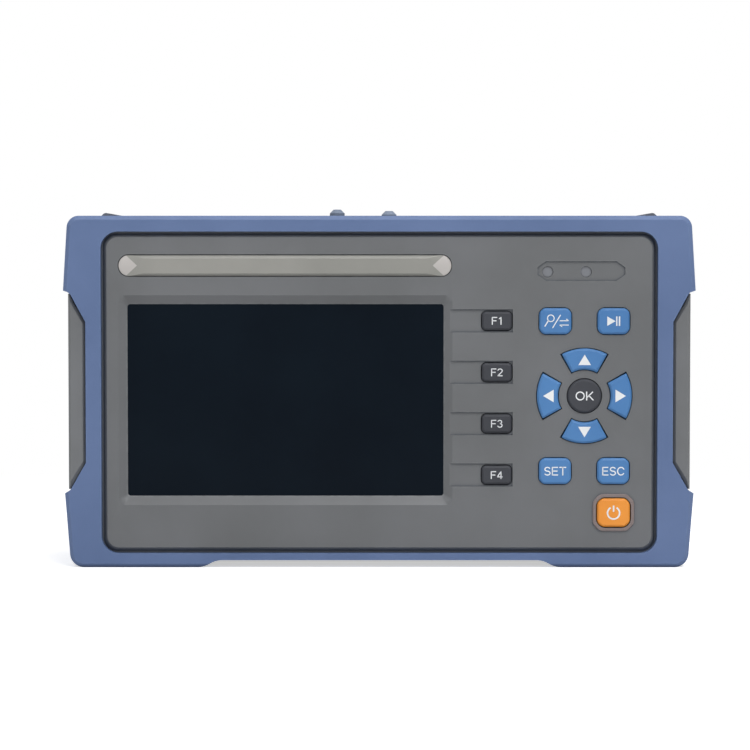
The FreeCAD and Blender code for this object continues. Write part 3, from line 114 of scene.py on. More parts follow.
tilt = math.radians(view["tilt"])
bpy.ops.object.camera_add(
    location=(view["aimX"],
              cadLow.y - view["distance"] * math.cos(tilt),
              view["aimZ"] + view["distance"] * math.sin(tilt)),
    rotation=(math.radians(90 - view["tilt"]), 0, 0))
camera = bpy.context.object
camera.name = "viewCamera"
camera.data.lens = view["lens"]
camera.data.sensor_width = view["sensor"]
camera.data.clip_start = view["nearest"]
bpy.context.scene.camera = camera
bpy.context.scene.view_settings.view_transform = "Standard"
print("camera set")

lamps = {
    "keyLamp": {"at": (0.5, -0.8, 1.15), "size": 0.8, "power": 12.0},
    "leftLamp": {"at": (-1.1, -0.95, 0.7), "size": 1.2, "power": 4.0},
    "topLamp": {"at": (0.0, 0.2, 1.6), "size": 1.2, "power": 9.0},
}
lampsAimAt = Vector((0, 0, 0.06))

for lampName, lamp in lamps.items():
    place = Vector(lamp["at"])
    turn = (lampsAimAt - place).to_track_quat("-Z", "Y").to_euler()
    bpy.ops.object.light_add(type="AREA", location=place, rotation=turn)
    bpy.context.object.name = lampName
    bpy.context.object.data.size = lamp["size"]
    bpy.context.object.data.energy = lamp["power"]

# a weak white room that the camera and the gloss see as plain white
surround = {"light": 0.3, "seen": 1.0}

world = bpy.data.worlds.new("studio")
bpy.context.scene.world = world
world.use_nodes = True
tree = world.node_tree
tree.nodes.clear()
rays = tree.nodes.new("ShaderNodeLightPath")
choose = tree.nodes.new("ShaderNodeMixShader")
shown = tree.nodes.new("ShaderNodeOutputWorld")
direct = mathNode(tree, "MAXIMUM", rays.outputs["Is Camera Ray"], rays.outputs["Is Glossy Ray"])
link(tree, mathNode(tree, "MAXIMUM", direct, rays.outputs["Is Transmission Ray"]),
     choose.inputs["Fac"])
for socket, strength in zip(choose.inputs[1:], (surround["light"], surround["seen"])):
    white = tree.nodes.new("ShaderNodeBackground")
    white.inputs["Color"].default_value = (1, 1, 1, 1)
    white.inputs["Strength"].default_value = strength
    link(tree, white.outputs[0], socket)
link(tree, choose.outputs[0], shown.inputs["Surface"])

# pale paper that keeps the shadow near the instrument and fades to white further out
ground = {"size": 12.0, "colour": 0.86, "rough": 0.9, "glow": 0.55, "near": 0.16, "far": 0.42}

bpy.ops.mesh.primitive_plane_add(size=ground["size"], location=(0, 0, 0))
floor = bpy.context.object
floor.name = "floor"
paper = bpy.data.materials.new("paper")
paper.use_nodes = True
tree = paper.node_tree
shader = tree.nodes["Principled BSDF"]
shader.inputs["Base Color"].default_value = (ground["colour"],) * 3 + (1,)
shader.inputs["Roughness"].default_value = ground["rough"]
shader.inputs["Specular IOR Level"].default_value = 0.0
shader.inputs["Emission Color"].default_value = (1, 1, 1, 1)
rays = tree.nodes.new("ShaderNodeLightPath")
white = tree.nodes.new("ShaderNodeEmission")
coords = tree.nodes.new("ShaderNodeTexCoord")
away = tree.nodes.new("ShaderNodeVectorMath")
away.operation = "LENGTH"
mixed = tree.nodes.new("ShaderNodeMixShader")
link(tree, mathNode(tree, "MULTIPLY", rays.outputs["Is Camera Ray"], ground["glow"]),
     shader.inputs["Emission Strength"])
link(tree, coords.outputs["Object"], away.inputs[0])
spread = ranged(tree, away.outputs["Value"], ground["near"], ground["far"], kind="SMOOTHSTEP")
link(tree, mathNode(tree, "MULTIPLY", rays.outputs["Is Camera Ray"], spread),
     mixed.inputs["Fac"])
link(tree, shader.outputs["BSDF"], mixed.inputs[1])
link(tree, white.outputs["Emission"], mixed.inputs[2])
link(tree, mixed.outputs["Shader"], tree.nodes["Material Output"].inputs["Surface"])
floor.data.materials.append(paper)
floor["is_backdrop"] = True
print("stage set")


def newGroup(name, inputs, outputs):
    made = bpy.data.node_groups.new(name, "ShaderNodeTree")
    for label, value in inputs.items():
        socket = made.interface.new_socket(label, in_out="INPUT", socket_type="NodeSocketFloat")
        socket.default_value = value
    for label in outputs:
        made.interface.new_socket(label, in_out="OUTPUT", socket_type="NodeSocketFloat")
    return made, made.nodes.new("NodeGroupInput"), made.nodes.new("NodeGroupOutput")


def noise(tree, place, scale, detail):
    made = tree.nodes.new("ShaderNodeTexNoise")
    made.inputs["Detail"].default_value = detail
    link(tree, place, made.inputs["Vector"])
    if isinstance(scale, (int, float)):
        made.inputs["Scale"].default_value = scale
    else:
        link(tree, scale, made.inputs["Scale"])
    return made


# moulded grain: a fine pebble on a slow unevenness
grainLook = {"scale": 1500.0, "fineShare": 0.6, "fineDetail": 4,
             "slowScale": 28, "slowDetail": 5, "mottle": (0.35, 0.65)}

tree, given, out = newGroup("mouldedGrain", {"Scale": grainLook["scale"]}, ("Height", "Mottle"))
grainGroup = tree
coords = tree.nodes.new("ShaderNodeTexCoord")
pebble = tree.nodes.new("ShaderNodeTexVoronoi")
link(tree, coords.outputs["Object"], pebble.inputs["Vector"])
link(tree, given.outputs["Scale"], pebble.inputs["Scale"])
fineScale = mathNode(tree, "MULTIPLY", given.outputs["Scale"], grainLook["fineShare"])
fine = noise(tree, coords.outputs["Object"], fineScale, grainLook["fineDetail"])
slow = noise(tree, coords.outputs["Object"], grainLook["slowScale"], grainLook["slowDetail"])
link(tree, mathNode(tree, "ADD", pebble.outputs["Distance"], fine.outputs["Fac"]),
     out.inputs["Height"])
link(tree, ranged(tree, slow.outputs["Fac"], *grainLook["mottle"]), out.inputs["Mottle"])

# rubbed edges: where the rounded normal leaves the flat one, broken up by noise
wearLook = {"width": 0.0008, "break": 350.0, "samples": 4, "detail": 6,
            "edge": (0.985, 0.86), "breaks": (0.4, 0.62)}

tree, given, out = newGroup(
    "rubbedEdges", {"Width": wearLook["width"], "Break": wearLook["break"]}, ("Mask",))
wearGroup = tree
coords = tree.nodes.new("ShaderNodeTexCoord")
facing = tree.nodes.new("ShaderNodeNewGeometry")
rounder = tree.nodes.new("ShaderNodeBevel")
rounder.samples = wearLook["samples"]
link(tree, given.outputs["Width"], rounder.inputs["Radius"])
meet = tree.nodes.new("ShaderNodeVectorMath")
meet.operation = "DOT_PRODUCT"
link(tree, facing.outputs["Normal"], meet.inputs[0])
link(tree, rounder.outputs["Normal"], meet.inputs[1])
broken = noise(tree, coords.outputs["Object"], given.outputs["Break"], wearLook["detail"])
edge = ranged(tree, meet.outputs["Value"], *wearLook["edge"])
breaks = ranged(tree, broken.outputs["Fac"], *wearLook["breaks"])
link(tree, mathNode(tree, "MULTIPLY", edge, breaks), out.inputs["Mask"])

# handling marks: faint smears for the roughness
handlingLook = {"scale": 60.0, "stretch": (1.0, 1.0, 0.35), "turn": (0, 0.5, 0),
                "detail": 8, "distortion": 0.8, "range": (0.3, 0.7)}

tree, given, out = newGroup("handlingMarks", {"Scale": handlingLook["scale"]}, ("Value",))
handlingGroup = tree
coords = tree.nodes.new("ShaderNodeTexCoord")
stretch = tree.nodes.new("ShaderNodeMapping")
stretch.inputs["Scale"].default_value = handlingLook["stretch"]
stretch.inputs["Rotation"].default_value = handlingLook["turn"]
link(tree, coords.outputs["Object"], stretch.inputs["Vector"])
smear = noise(tree, stretch.outputs["Vector"], given.outputs["Scale"], handlingLook["detail"])
smear.inputs["Distortion"].default_value = handlingLook["distortion"]
link(tree, ranged(tree, smear.outputs["Fac"], *handlingLook["range"]), out.inputs["Value"])

# painted shade in crevices: what lies close to a wall or in a slot is painted darker, as the shade
# that falls there
creviceShadeLook = {"reach": 0.0012, "samples": 6, "range": (0.92, 0.4)}

tree, given, out = newGroup("paintedCreviceShade", {"Distance": creviceShadeLook["reach"]}, ("Mask",))
creviceShadeGroup = tree
hidden = tree.nodes.new("ShaderNodeAmbientOcclusion")
hidden.samples = creviceShadeLook["samples"]
link(tree, given.outputs["Distance"], hidden.inputs["Distance"])
link(tree, ranged(tree, hidden.outputs["AO"], *creviceShadeLook["range"]), out.inputs["Mask"])
print("shader groups made")


def groupNode(tree, group, **values):
    made = tree.nodes.new("ShaderNodeGroup")
    made.node_tree = group
    for label, value in values.items():
        made.inputs[label].default_value = value
    return made


def mixColour(tree, amount, first, second):
    made = tree.nodes.new("ShaderNodeMix")
    made.data_type = "RGBA"
    colours = [socket for socket in made.inputs if socket.type == "RGBA"]
    for socket, value in zip(colours, (first, second)):
        if isinstance(value, tuple):
            socket.default_value = value
        else:
            link(tree, value, socket)
    link(tree, amount, made.inputs["Factor"])
    return [socket for socket in made.outputs if socket.type == "RGBA"][0]


# what a finish has unless its own row says otherwise; lengths in metres; the crevice colour is the
# colour of the painted shade
usual = {"grain": 1500.0, "wornWidth": 0.0008, "wornAmount": 0.5, "bump": 0.3,
         "creviceShadeReach": 0.0012, "creviceShadeColour": (18, 20, 26)}
bumpDepth = 0.00003

# a second colour past a level in millimetres, with the width of the change:
# the corner guards stand above a height; the power key's rim in front of a depth is painted
# lighter, a painted highlight
pastLevel = {"above": ("Z", 0.15), "proud": ("Y", -0.1)}


def makeFinish(name, ownLook):
    look = {**usual, **ownLook}
    finish = bpy.data.materials.new(name)
    finish.use_nodes = True
    tree = finish.node_tree
    shader = tree.nodes["Principled BSDF"]
    grain = groupNode(tree, grainGroup, Scale=look["grain"])
    marks = groupNode(tree, handlingGroup)
    colour = mixColour(tree, grain.outputs["Mottle"], shade(*look["dark"]), shade(*look["light"]))
    for key, (axis, change) in pastLevel.items():
        if key in look:
            level, other = look[key]
            coords = tree.nodes.new("ShaderNodeTexCoord")
            split = tree.nodes.new("ShaderNodeSeparateXYZ")
            link(tree, coords.outputs["Object"], split.inputs["Vector"])
            past = ranged(tree, split.outputs[axis], level * mm, (level + change) * mm)
            colour = mixColour(tree, past, colour, shade(*other))
    if "worn" in look:
        wear = groupNode(tree, wearGroup, Width=look["wornWidth"])
        amount = mathNode(tree, "MULTIPLY", wear.outputs["Mask"], look["wornAmount"])
        colour = mixColour(tree, amount, colour, shade(*look["worn"]))
    # painted shade: near walls and in slots the colour is mixed towards the shade colour, by the
    # row's share
    if "creviceShade" in look:
        shadeNearWalls = groupNode(tree, creviceShadeGroup, Distance=look["creviceShadeReach"])
        amount = mathNode(tree, "MULTIPLY", shadeNearWalls.outputs["Mask"], look["creviceShade"])
        colour = mixColour(tree, amount, colour, shade(*look["creviceShadeColour"]))
    link(tree, colour, shader.inputs["Base Color"])
    link(tree, ranged(tree, marks.outputs["Value"], 0.0, 1.0, *look["rough"]),
         shader.inputs["Roughness"])
    bump = tree.nodes.new("ShaderNodeBump")
    bump.inputs["Strength"].default_value = look["bump"]
    bump.inputs["Distance"].default_value = bumpDepth
    link(tree, grain.outputs["Height"], bump.inputs["Height"])
    link(tree, bump.outputs["Normal"], shader.inputs["Normal"])
    for label, key in (("Metallic", "metal"), ("Coat Weight", "coat"),
                       ("Specular IOR Level", "specular")):
        if key in look:
            shader.inputs[label].default_value = look[key]
    return finish


looks = {
    "boot_rubber": {"dark": (90, 110, 149), "light": (99, 119, 159), "rough": (0.5, 0.62),
                    "specular": 0.35, "grain": 1800.0, "above": (122.55, (104, 106, 112)),
                    "worn": (128, 147, 180), "wornWidth": 0.001, "wornAmount": 0.35,
                    "creviceShade": 0.3},
    # the case: in front of the proud depth the power key's rim is painted lighter and pinkish, a
    # painted highlight on the same plastic
    "case_plastic": {"dark": (99, 101, 103), "light": (107, 109, 112), "rough": (0.42, 0.55),
                     "grain": 2200.0, "proud": (-27.5, (127, 114, 112)), "worn": (140, 142, 144),
                     # the case's crevice colour is bluish: painted shade with the boot's blue
                     # light reflected into the groove
                     "wornAmount": 0.3, "creviceShade": 0.8, "creviceShadeReach": 0.0014,
                     "creviceShadeColour": (60, 68, 80)},
    "grip_plastic": {"dark": (103, 105, 107), "light": (114, 116, 119), "rough": (0.45, 0.6),
                     "grain": 1400.0, "worn": (140, 142, 144), "wornAmount": 0.3},
    "lens_glass": {"dark": (12, 20, 29), "light": (15, 24, 33), "rough": (0.16, 0.22),
                   "specular": 0.05, "bump": 0.02},
    "strip_metal": {"dark": (140, 140, 135), "light": (152, 151, 146), "rough": (0.34, 0.44),
                    "metal": 0.35, "bump": 0.1, "creviceShade": 0.4},
    "key_blue": {"dark": (66, 118, 174), "light": (76, 129, 186), "rough": (0.35, 0.5),
                 "worn": (120, 162, 212), "wornWidth": 0.0004, "wornAmount": 0.4,
                 "creviceShade": 0.35},
    "key_dark": {"dark": (57, 59, 65), "light": (65, 67, 73), "rough": (0.42, 0.54),
                 "specular": 0.3, "worn": (110, 112, 118), "wornWidth": 0.0004, "wornAmount": 0.4,
                 "creviceShade": 0.35},
    "key_orange": {"dark": (230, 139, 42), "light": (240, 152, 54), "rough": (0.35, 0.5),
                   "worn": (246, 184, 110), "wornWidth": 0.0004, "wornAmount": 0.4,
                   "creviceShade": 0.35},
    "mat_silicone": {"dark": (30, 32, 38), "light": (38, 40, 46), "rough": (0.6, 0.75)},
    "board_laminate": {"dark": (18, 66, 42), "light": (26, 80, 52), "rough": (0.35, 0.5),
                       "coat": 0.3},
    "module_metal": {"dark": (150, 152, 155), "light": (176, 178, 180), "rough": (0.3, 0.45),
                     "metal": 0.9, "bump": 0.1},
    "spring_metal": {"dark": (170, 170, 165), "light": (190, 190, 186), "rough": (0.25, 0.4),
                     "metal": 1.0, "bump": 0.1},
    "screw_steel": {"dark": (120, 121, 124), "light": (142, 143, 146), "rough": (0.28, 0.42),
                    "metal": 0.9, "bump": 0.1},
    "port_metal": {"dark": (150, 150, 148), "light": (178, 178, 175), "rough": (0.25, 0.4),
                   "metal": 0.9, "bump": 0.1},
    "cap_rubber": {"dark": (108, 120, 140), "light": (120, 132, 152), "rough": (0.5, 0.65)},
    "black_plastic": {"dark": (26, 27, 29), "light": (36, 37, 40), "rough": (0.4, 0.55)},
    "lamp_clear": {"dark": (118, 121, 127), "light": (130, 133, 139), "rough": (0.2, 0.3),
                   "coat": 0.3, "creviceShade": 0.4, "creviceShadeReach": 0.0006},
    "ferrule_ceramic": {"dark": (226, 224, 216), "light": (238, 236, 230), "rough": (0.2, 0.3),
                        "coat": 0.3, "bump": 0.05},
    "contact_gold": {"dark": (196, 160, 84), "light": (214, 180, 104), "rough": (0.2, 0.3),
                     "metal": 1.0, "bump": 0.05},
    # the title bar's end facets: the strip metal painted lighter, a painted highlight for the
    # light the end facets catch
    "strip_painted_highlight": {"dark": (182, 178, 175), "light": (194, 190, 187), "rough": (0.3, 0.4),
                     "metal": 0.3, "bump": 0.1, "creviceShade": 0.4},
    "legend_ink": {"dark": (226, 229, 232), "light": (240, 242, 244), "rough": (0.45, 0.6),
                   "specular": 0.2},
    "display_metal": {"dark": (60, 62, 66), "light": (76, 78, 82), "rough": (0.3, 0.45),
                      "metal": 0.7},
    "battery_wrap": {"dark": (34, 46, 84), "light": (44, 58, 100), "rough": (0.25, 0.4),
                     "coat": 0.4},
    "fibre_jacket": {"dark": (216, 196, 80), "light": (232, 212, 96), "rough": (0.35, 0.5)},
    "seal_rubber": {"dark": (40, 42, 46), "light": (50, 52, 56), "rough": (0.6, 0.75)},
}
finishes = {slotName: makeFinish(slotName, look) for slotName, look in looks.items()}
print("finishes made:", len(finishes))

for nodeName, node in nodes.items():
    for slot in node.material_slots:
        slot.material = finishes[slotOf[nodeName]]


def clear():
    if bpy.context.object and bpy.context.object.mode != "OBJECT":
        bpy.ops.object.mode_set(mode="OBJECT")
    bpy.ops.object.select_all(action="DESELECT")


def hold(piece):
    clear()
    piece.select_set(True)
    bpy.context.view_layer.objects.active = piece


def settle():
    # puts the place, turn and scale of what is held into its mesh
    bpy.ops.object.transform_apply(location=True, rotation=True, scale=True)


def copyOf(mesh):
    piece = bpy.data.objects.new("copy", mesh.copy())
    bpy.context.scene.collection.objects.link(piece)
    hold(piece)
    return piece


def applied(piece, kind, **settings):
    hold(piece)
    modifier = piece.modifiers.new("work", kind)
    for label, value in settings.items():
        setattr(modifier, label, value)
    bpy.ops.object.modifier_apply(modifier="work")
    return piece


def joined(pieces):
    clear()
    for piece in pieces:
        piece.select_set(True)
    bpy.context.view_layer.objects.active = pieces[0]
    if len(pieces) > 1:
        bpy.ops.object.join()
    return bpy.context.object


def fasten(piece, name, nodeName, finish, stands=False):
    # names a finished piece, gives it its finish and fastens it to the node's body
    piece.name = name
    piece.data.name = name
    if finish:
        piece.data.materials.clear()
        piece.data.materials.append(finishes[finish])
    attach(piece, bodyOf[nodeName])
    if stands:
        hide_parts(nodeName)
    return piece


def pick(piece, kind, test):
    # selects what passes the test, in edit mode
    bpy.ops.mesh.select_mode(type=kind)
    bpy.ops.mesh.select_all(action="DESELECT")
    shape = bmesh.from_edit_mesh(piece.data)
    for item in {"VERT": shape.verts, "EDGE": shape.edges, "FACE": shape.faces}[kind]:
        if test(item):
            item.select_set(True)
    shape.select_flush_mode()
    bmesh.update_edit_mesh(piece.data)


copying = {"merge": 0.003, "flatWithin": 0.6}  # millimetres, degrees


def mergedCopy(nodeName, wholeFaces=False):
    # a copy of a node with its triangles merged, into quads or into whole flat faces
    piece = copyOf(nodes[nodeName].data)
    flatWithin = math.radians(copying["flatWithin"])
    bpy.ops.mesh.customdata_custom_splitnormals_clear()
    bpy.ops.object.mode_set(mode="EDIT")
    bpy.ops.mesh.select_all(action="SELECT")
    bpy.ops.mesh.remove_doubles(threshold=copying["merge"] * mm)
    if wholeFaces:
        bpy.ops.mesh.dissolve_limited(angle_limit=flatWithin)
    else:
        bpy.ops.mesh.tris_convert_to_quads(face_threshold=flatWithin, shape_threshold=math.pi)
    bpy.ops.object.mode_set(mode="OBJECT")
    return piece


faceWeight = 60  # how strongly large faces keep their own normal


def keepFlat(piece, smooth=40):
    hold(piece)
    bpy.ops.object.shade_smooth_by_angle(angle=math.radians(smooth))
    return applied(piece, "WEIGHTED_NORMAL", keep_sharp=True, weight=faceWeight)


def reachOf(face, edge):
    # how far a face goes from one of its edges
    start, step = edge.verts[0].co, (edge.verts[1].co - edge.verts[0].co).normalized()
    return max(((v.co - start) - step * (v.co - start).dot(step)).length for v in face.verts)


# cut corners are rounded in passes, the widest cuts first; lengths in millimetres
cornering = {"passes": 6, "parallel": 0.999, "least": 0.3, "nearWidest": 0.75,
             "share": 0.5, "flattest": 30, "segments": 3}


def roundCorners(piece, along, most, sharpest=60, shortest=1.0, where=None):
    # rounds the cut corners whose edges run along one axis
    hold(piece)
    bpy.ops.object.mode_set(mode="EDIT")
    for turn in range(cornering["passes"]):
        shape = bmesh.from_edit_mesh(piece.data)
        found = {}
        for edge in shape.edges:
            step = edge.verts[1].co - edge.verts[0].co
            if where and not where(edge.verts[0].co / mm):
                continue
            if len(edge.link_faces) == 2 and step.length > shortest * mm \
                    and abs(step.normalized()[along]) > cornering["parallel"] \
                    and cornering["flattest"] < math.degrees(edge.calc_face_angle(0)) < sharpest:
                found[edge.index] = min(reachOf(face, edge) for face in edge.link_faces)
        if not found or max(found.values()) < cornering["least"] * mm:
            break
        wide = cornering["nearWidest"] * max(found.values())
        group = {index for index, reach in found.items() if reach > wide}
        pick(piece, "EDGE", lambda edge: edge.index in group)
        bpy.ops.mesh.bevel(offset=min(cornering["share"] * wide, most * mm),
                           segments=cornering["segments"], affect="EDGES", clamp_overlap=True)
    bpy.ops.object.mode_set(mode="OBJECT")
    return piece


def rounded(piece, width, segments=3, angle=30, smooth=40, corners=(), sharpest=60, where=None):
    for along, most in corners:
        roundCorners(piece, along, most, sharpest, where=where)
    applied(piece, "BEVEL", width=width * mm, segments=segments, limit_method="ANGLE",
            angle_limit=math.radians(angle), miter_outer="MITER_ARC")
    return keepFlat(piece, smooth)


def turnedUpright(piece, middle, front):
    # stands a flat piece up behind the given front, facing the reader
    hold(piece)
    settle()
    piece.rotation_euler = (math.radians(90), 0, 0)
    piece.location = (middle[0] * mm, front, middle[1] * mm)
    settle()
    return piece


def bar(start, end, width):
    clear()
    first, last = Vector((start[0], start[1], 0)) * mm, Vector((end[0], end[1], 0)) * mm
    step = last - first
    bpy.ops.mesh.primitive_plane_add(size=1, location=(first + last) / 2,
                                     rotation=(0, 0, math.atan2(step.y, step.x)))
    piece = bpy.context.object
    piece.scale = (step.length, width * mm, 1)
    settle()
    return piece


ringSteps = 72


def ring(middle, radiusX, radiusY, width, start=0, end=360):
    # angles go clockwise from the top
    clear()
    bpy.ops.mesh.primitive_circle_add(vertices=ringSteps, radius=1, location=(0, 0, 0))
    piece = bpy.context.object
    piece.scale = ((radiusX + width / 2) * mm, (radiusY + width / 2) * mm, 1)
    settle()
    bpy.ops.object.mode_set(mode="EDIT")
    bpy.ops.mesh.select_all(action="SELECT")
    bpy.ops.mesh.extrude_edges_move()
    bpy.ops.transform.resize(value=((radiusX - width / 2) / (radiusX + width / 2),
                                    (radiusY - width / 2) / (radiusY + width / 2), 1))
    bpy.ops.object.mode_set(mode="OBJECT")
    if end - start < 360:
        for face in piece.data.polygons:
            at = face.center
            angle = math.degrees(math.atan2(at.x / radiusX, at.y / radiusY))
            face.select = (angle - start) % 360 > end - start
        bpy.ops.object.mode_set(mode="EDIT")
        bpy.ops.mesh.select_mode(type="FACE")
        bpy.ops.mesh.delete(type="FACE")
        bpy.ops.object.mode_set(mode="OBJECT")
    piece.location = (middle[0] * mm, middle[1] * mm, 0)
    settle()
    return piece


def triangle(middle, width, height, turn=0):
    # a circle of three points is sqrt(3) wide, 1.5 high and stands on two of them
    clear()
    bpy.ops.mesh.primitive_circle_add(vertices=3, radius=1, fill_type="NGON", location=(0, 0, 0))
    piece = bpy.context.object
    piece.scale = (width * mm / math.sqrt(3), height * mm / 1.5, 1)
    settle()
    piece.location = (0, -height / 6 * mm, 0)
    settle()
    piece.rotation_euler = (0, 0, math.radians(turn))
    piece.location = (middle[0] * mm, middle[1] * mm, 0)
    settle()
    return piece


# rounding of each moulded piece in millimetres; corners are (axis they run along, most)
softEdges = {
    "protective_boot": {"width": 0.6, "segments": 4, "corners": [(1, 7.0), (2, 3.0)]},
    "front_housing": {"width": 0.14, "segments": 2, "corners": [(1, 7.0)]},
    "rear_housing": {"width": 0.25, "segments": 2, "corners": [(1, 7.0)],
                     "where": lambda spot: spot.y > 22},  # the back panel alone
    "side_grip_left": {"width": 0.3},
    "side_grip_right": {"width": 0.3},
    "battery_cover": {"width": 0.25, "corners": [(1, 2.0)]},
    "kick_stand": {"width": 0.5, "corners": [(1, 3.0)]},
    "port_flap": {"width": 0.4, "corners": [(2, 2.0)]},
    "otdr_dust_cap": {"width": 0.8, "segments": 5},
    "vfl_dust_cap": {"width": 0.8, "segments": 5},
    "otdr_adapter": {"width": 0.15, "segments": 2},
    "vfl_adapter": {"width": 0.15, "segments": 2},
    "light_pipes": {"width": 0.35},
    "usb_socket": {"width": 0.1, "segments": 2},
    "micro_usb_socket": {"width": 0.1, "segments": 2},
    "dc_jack": {"width": 0.3},
}

# small pulls on the copies: the panel's wall leans out into the groove,
# and the side grips' outer ends follow the boot's slope
panelWall = {"level": -25.5, "halfWidth": 95.3, "low": 6.5, "high": 115.5, "lean": 0.9,
             "near": 0.05, "band": 1.5, "beyond": 85, "middle": 61}
gripEnd = {"beyond": 107.0, "within": 1.2, "pull": 0.8}
powerRim = {"left": 72, "top": 28, "front": -27.3, "most": 1.2, "shortest": 0.2}


def leanWall(piece):
    near = panelWall["near"]
    for v in piece.data.vertices:
        x, y, z = v.co / mm
        beside = min(panelWall["halfWidth"] - abs(x), z - panelWall["low"], panelWall["high"] - z)
        if abs(y - panelWall["level"]) < near and -near < beside < panelWall["band"] \
                and abs(x) > panelWall["beyond"]:
            outward = Vector((math.copysign(1, x), 0, math.copysign(1, z - panelWall["middle"])))
            v.co += outward * panelWall["lean"] * mm


def onPowerRim(spot):
    return spot.x > powerRim["left"] and spot.z < powerRim["top"] and spot.y < powerRim["front"]


def pullEnds(piece, nodeName):
    low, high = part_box(nodeName)
    for v in piece.data.vertices:
        if abs(v.co.x) > gripEnd["beyond"] * mm:
            if v.co.z < low.z + gripEnd["within"] * mm:
                v.co.z -= gripEnd["pull"] * mm
            elif v.co.z > high.z - gripEnd["within"] * mm:
                v.co.z += gripEnd["pull"] * mm


for nodeName, edge in softEdges.items():
    piece = mergedCopy(nodeName, wholeFaces=nodeName == "protective_boot")
    if nodeName == "front_housing":
        leanWall(piece)
        roundCorners(piece, 1, powerRim["most"], shortest=powerRim["shortest"], where=onPowerRim)
    if nodeName.startswith("side_grip"):
        pullEnds(piece, nodeName)
    rounded(piece, **edge)
    fasten(piece, nodeName + "_soft", nodeName, None, True)
print("housings softened")


# the title bar: a stadium with a flat top that ends in points, and sloped sides;
# lengths in millimetres, shares of its thickness
titleBar = {"topSlope": 1.25, "lowSlope": 1.0, "point": 6.6, "shoulder": 2.2, "steps": 16,
            "soften": 0.1, "sharpOver": 12, "smooth": 20, "sideShare": 0.35,
            "highlightReach": 5.0, "highlightShare": 0.4}

low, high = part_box("title_strip")
halfLong, halfHigh = (high.x - low.x) / 2, (high.z - low.z) / 2
thick = high.y - low.y
clear()
bpy.ops.mesh.primitive_circle_add(vertices=2 * titleBar["steps"], radius=halfHigh,
                                  fill_type="NGON", location=(0, 0, 0))
piece = bpy.context.object
piece.rotation_euler = (0, 0, math.pi / 2 / titleBar["steps"])
settle()
bpy.ops.object.mode_set(mode="EDIT")
for side in (-1, 1):
    pick(piece, "VERT", lambda v: abs(v.co.x) < halfHigh and v.co.x * side > 0)
    bpy.ops.transform.translate(value=(side * (halfLong - halfHigh), 0, 0))
bpy.ops.mesh.select_all(action="SELECT")
for share in (titleBar["sideShare"], 1 - titleBar["sideShare"]):
    bpy.ops.mesh.extrude_region_move(TRANSFORM_OT_translate={"value": (0, 0, thick * share)})
pick(piece, "VERT", lambda v: v.co.z < thick * titleBar["sideShare"] / 2)
bpy.ops.mesh.edge_face_add()
shape = bmesh.from_edit_mesh(piece.data)
topEdge = [v for v in shape.verts if v.co.z > thick * (1 + titleBar["sideShare"]) / 2]
straight = max(v.co.y for v in topEdge) * 0.999  # the ends of the straight sides reach this far
for v in topEdge:
    side = math.copysign(1, v.co.x)
    if abs(v.co.y) > straight:
        half = halfHigh - (titleBar["topSlope"] if v.co.y > 0 else titleBar["lowSlope"]) * mm
        v.co.x = side * (halfLong - (titleBar["point"] + titleBar["shoulder"]) * mm)
        v.co.y = math.copysign(half, v.co.y)
    else:
        v.co.x, v.co.y = side * (halfLong - titleBar["point"] * mm), 0
bmesh.update_edit_mesh(piece.data)
bpy.ops.mesh.select_all(action="SELECT")
bpy.ops.mesh.remove_doubles(threshold=0.01 * mm)
bpy.ops.mesh.normals_make_consistent(inside=False)
bpy.ops.object.mode_set(mode="OBJECT")
piece.rotation_euler = (math.radians(90), 0, 0)
piece.location = ((low.x + high.x) / 2, high.y, (low.z + high.z) / 2)
settle()
rounded(piece, titleBar["soften"], segments=2, angle=titleBar["sharpOver"],
        smooth=titleBar["smooth"])
fasten(piece, "title_bar", "title_strip", "strip_metal", True)
# the front faces near both ends take the lighter finish: a painted highlight on the end facets
piece.data.materials.append(finishes["strip_painted_highlight"])
highlightFrom = halfLong - titleBar["highlightReach"] * mm
highlightDepth = high.y - titleBar["highlightShare"] * thick
for face in piece.data.polygons:
    if abs(face.center.x - (low.x + high.x) / 2) > highlightFrom and face.center.y < highlightDepth:
        face.material_index = 1
print("title bar made")


# screw heads with a cross recess, modelled once for each size and copied;
# facing is the axis that a head looks along, spots are its places on the other two
screwHeads = {
    "cover_screws": {"radius": 2.25, "thick": 1.2, "top": (0, 27.4, 0), "turn": (-90, 0, 0),
                     "spots": [(-48.6, 46.0), (48.6, 46.0)], "facing": 1},
    "adapter_screws": {"radius": 1.4, "thick": 0.9, "top": (0, 0, 110.4), "turn": (0, 0, 0),
                       "spots": [(-20.3, 1.9), (-10.1, 12.1), (-1.5, 1.9), (8.7, 12.1)],
                       "facing": 2},
}
cross = {"arm": 0.6, "slot": 0.3, "soften": 0.22, "turn": 0.6}  # shares of the radius; radians
facesUp = 0.9  # the least upward part of a top face's normal
turnedSmooth = 35


def crossHead(radius, thick):
    clear()
    bpy.ops.mesh.primitive_cylinder_add(vertices=40, radius=radius * mm, depth=thick * mm,
                                        location=(0, 0, -thick / 2 * mm))
    head = bpy.context.object
    bpy.ops.object.mode_set(mode="EDIT")
    pick(head, "FACE", lambda face: face.normal.z > facesUp)
    bpy.ops.mesh.bevel(offset=cross["soften"] * radius * mm, segments=4, affect="EDGES")
    bpy.ops.object.mode_set(mode="OBJECT")
    arm, slot = cross["arm"] * radius, cross["slot"] * radius
    arms = joined([bar((-arm, 0), (arm, 0), slot), bar((0, -arm), (0, arm), slot)])
    applied(arms, "SOLIDIFY", thickness=thick * mm, offset=0)
    applied(head, "BOOLEAN", operation="DIFFERENCE", solver="EXACT", use_self=True, object=arms)
    bpy.data.objects.remove(arms)
    return keepFlat(head, turnedSmooth)


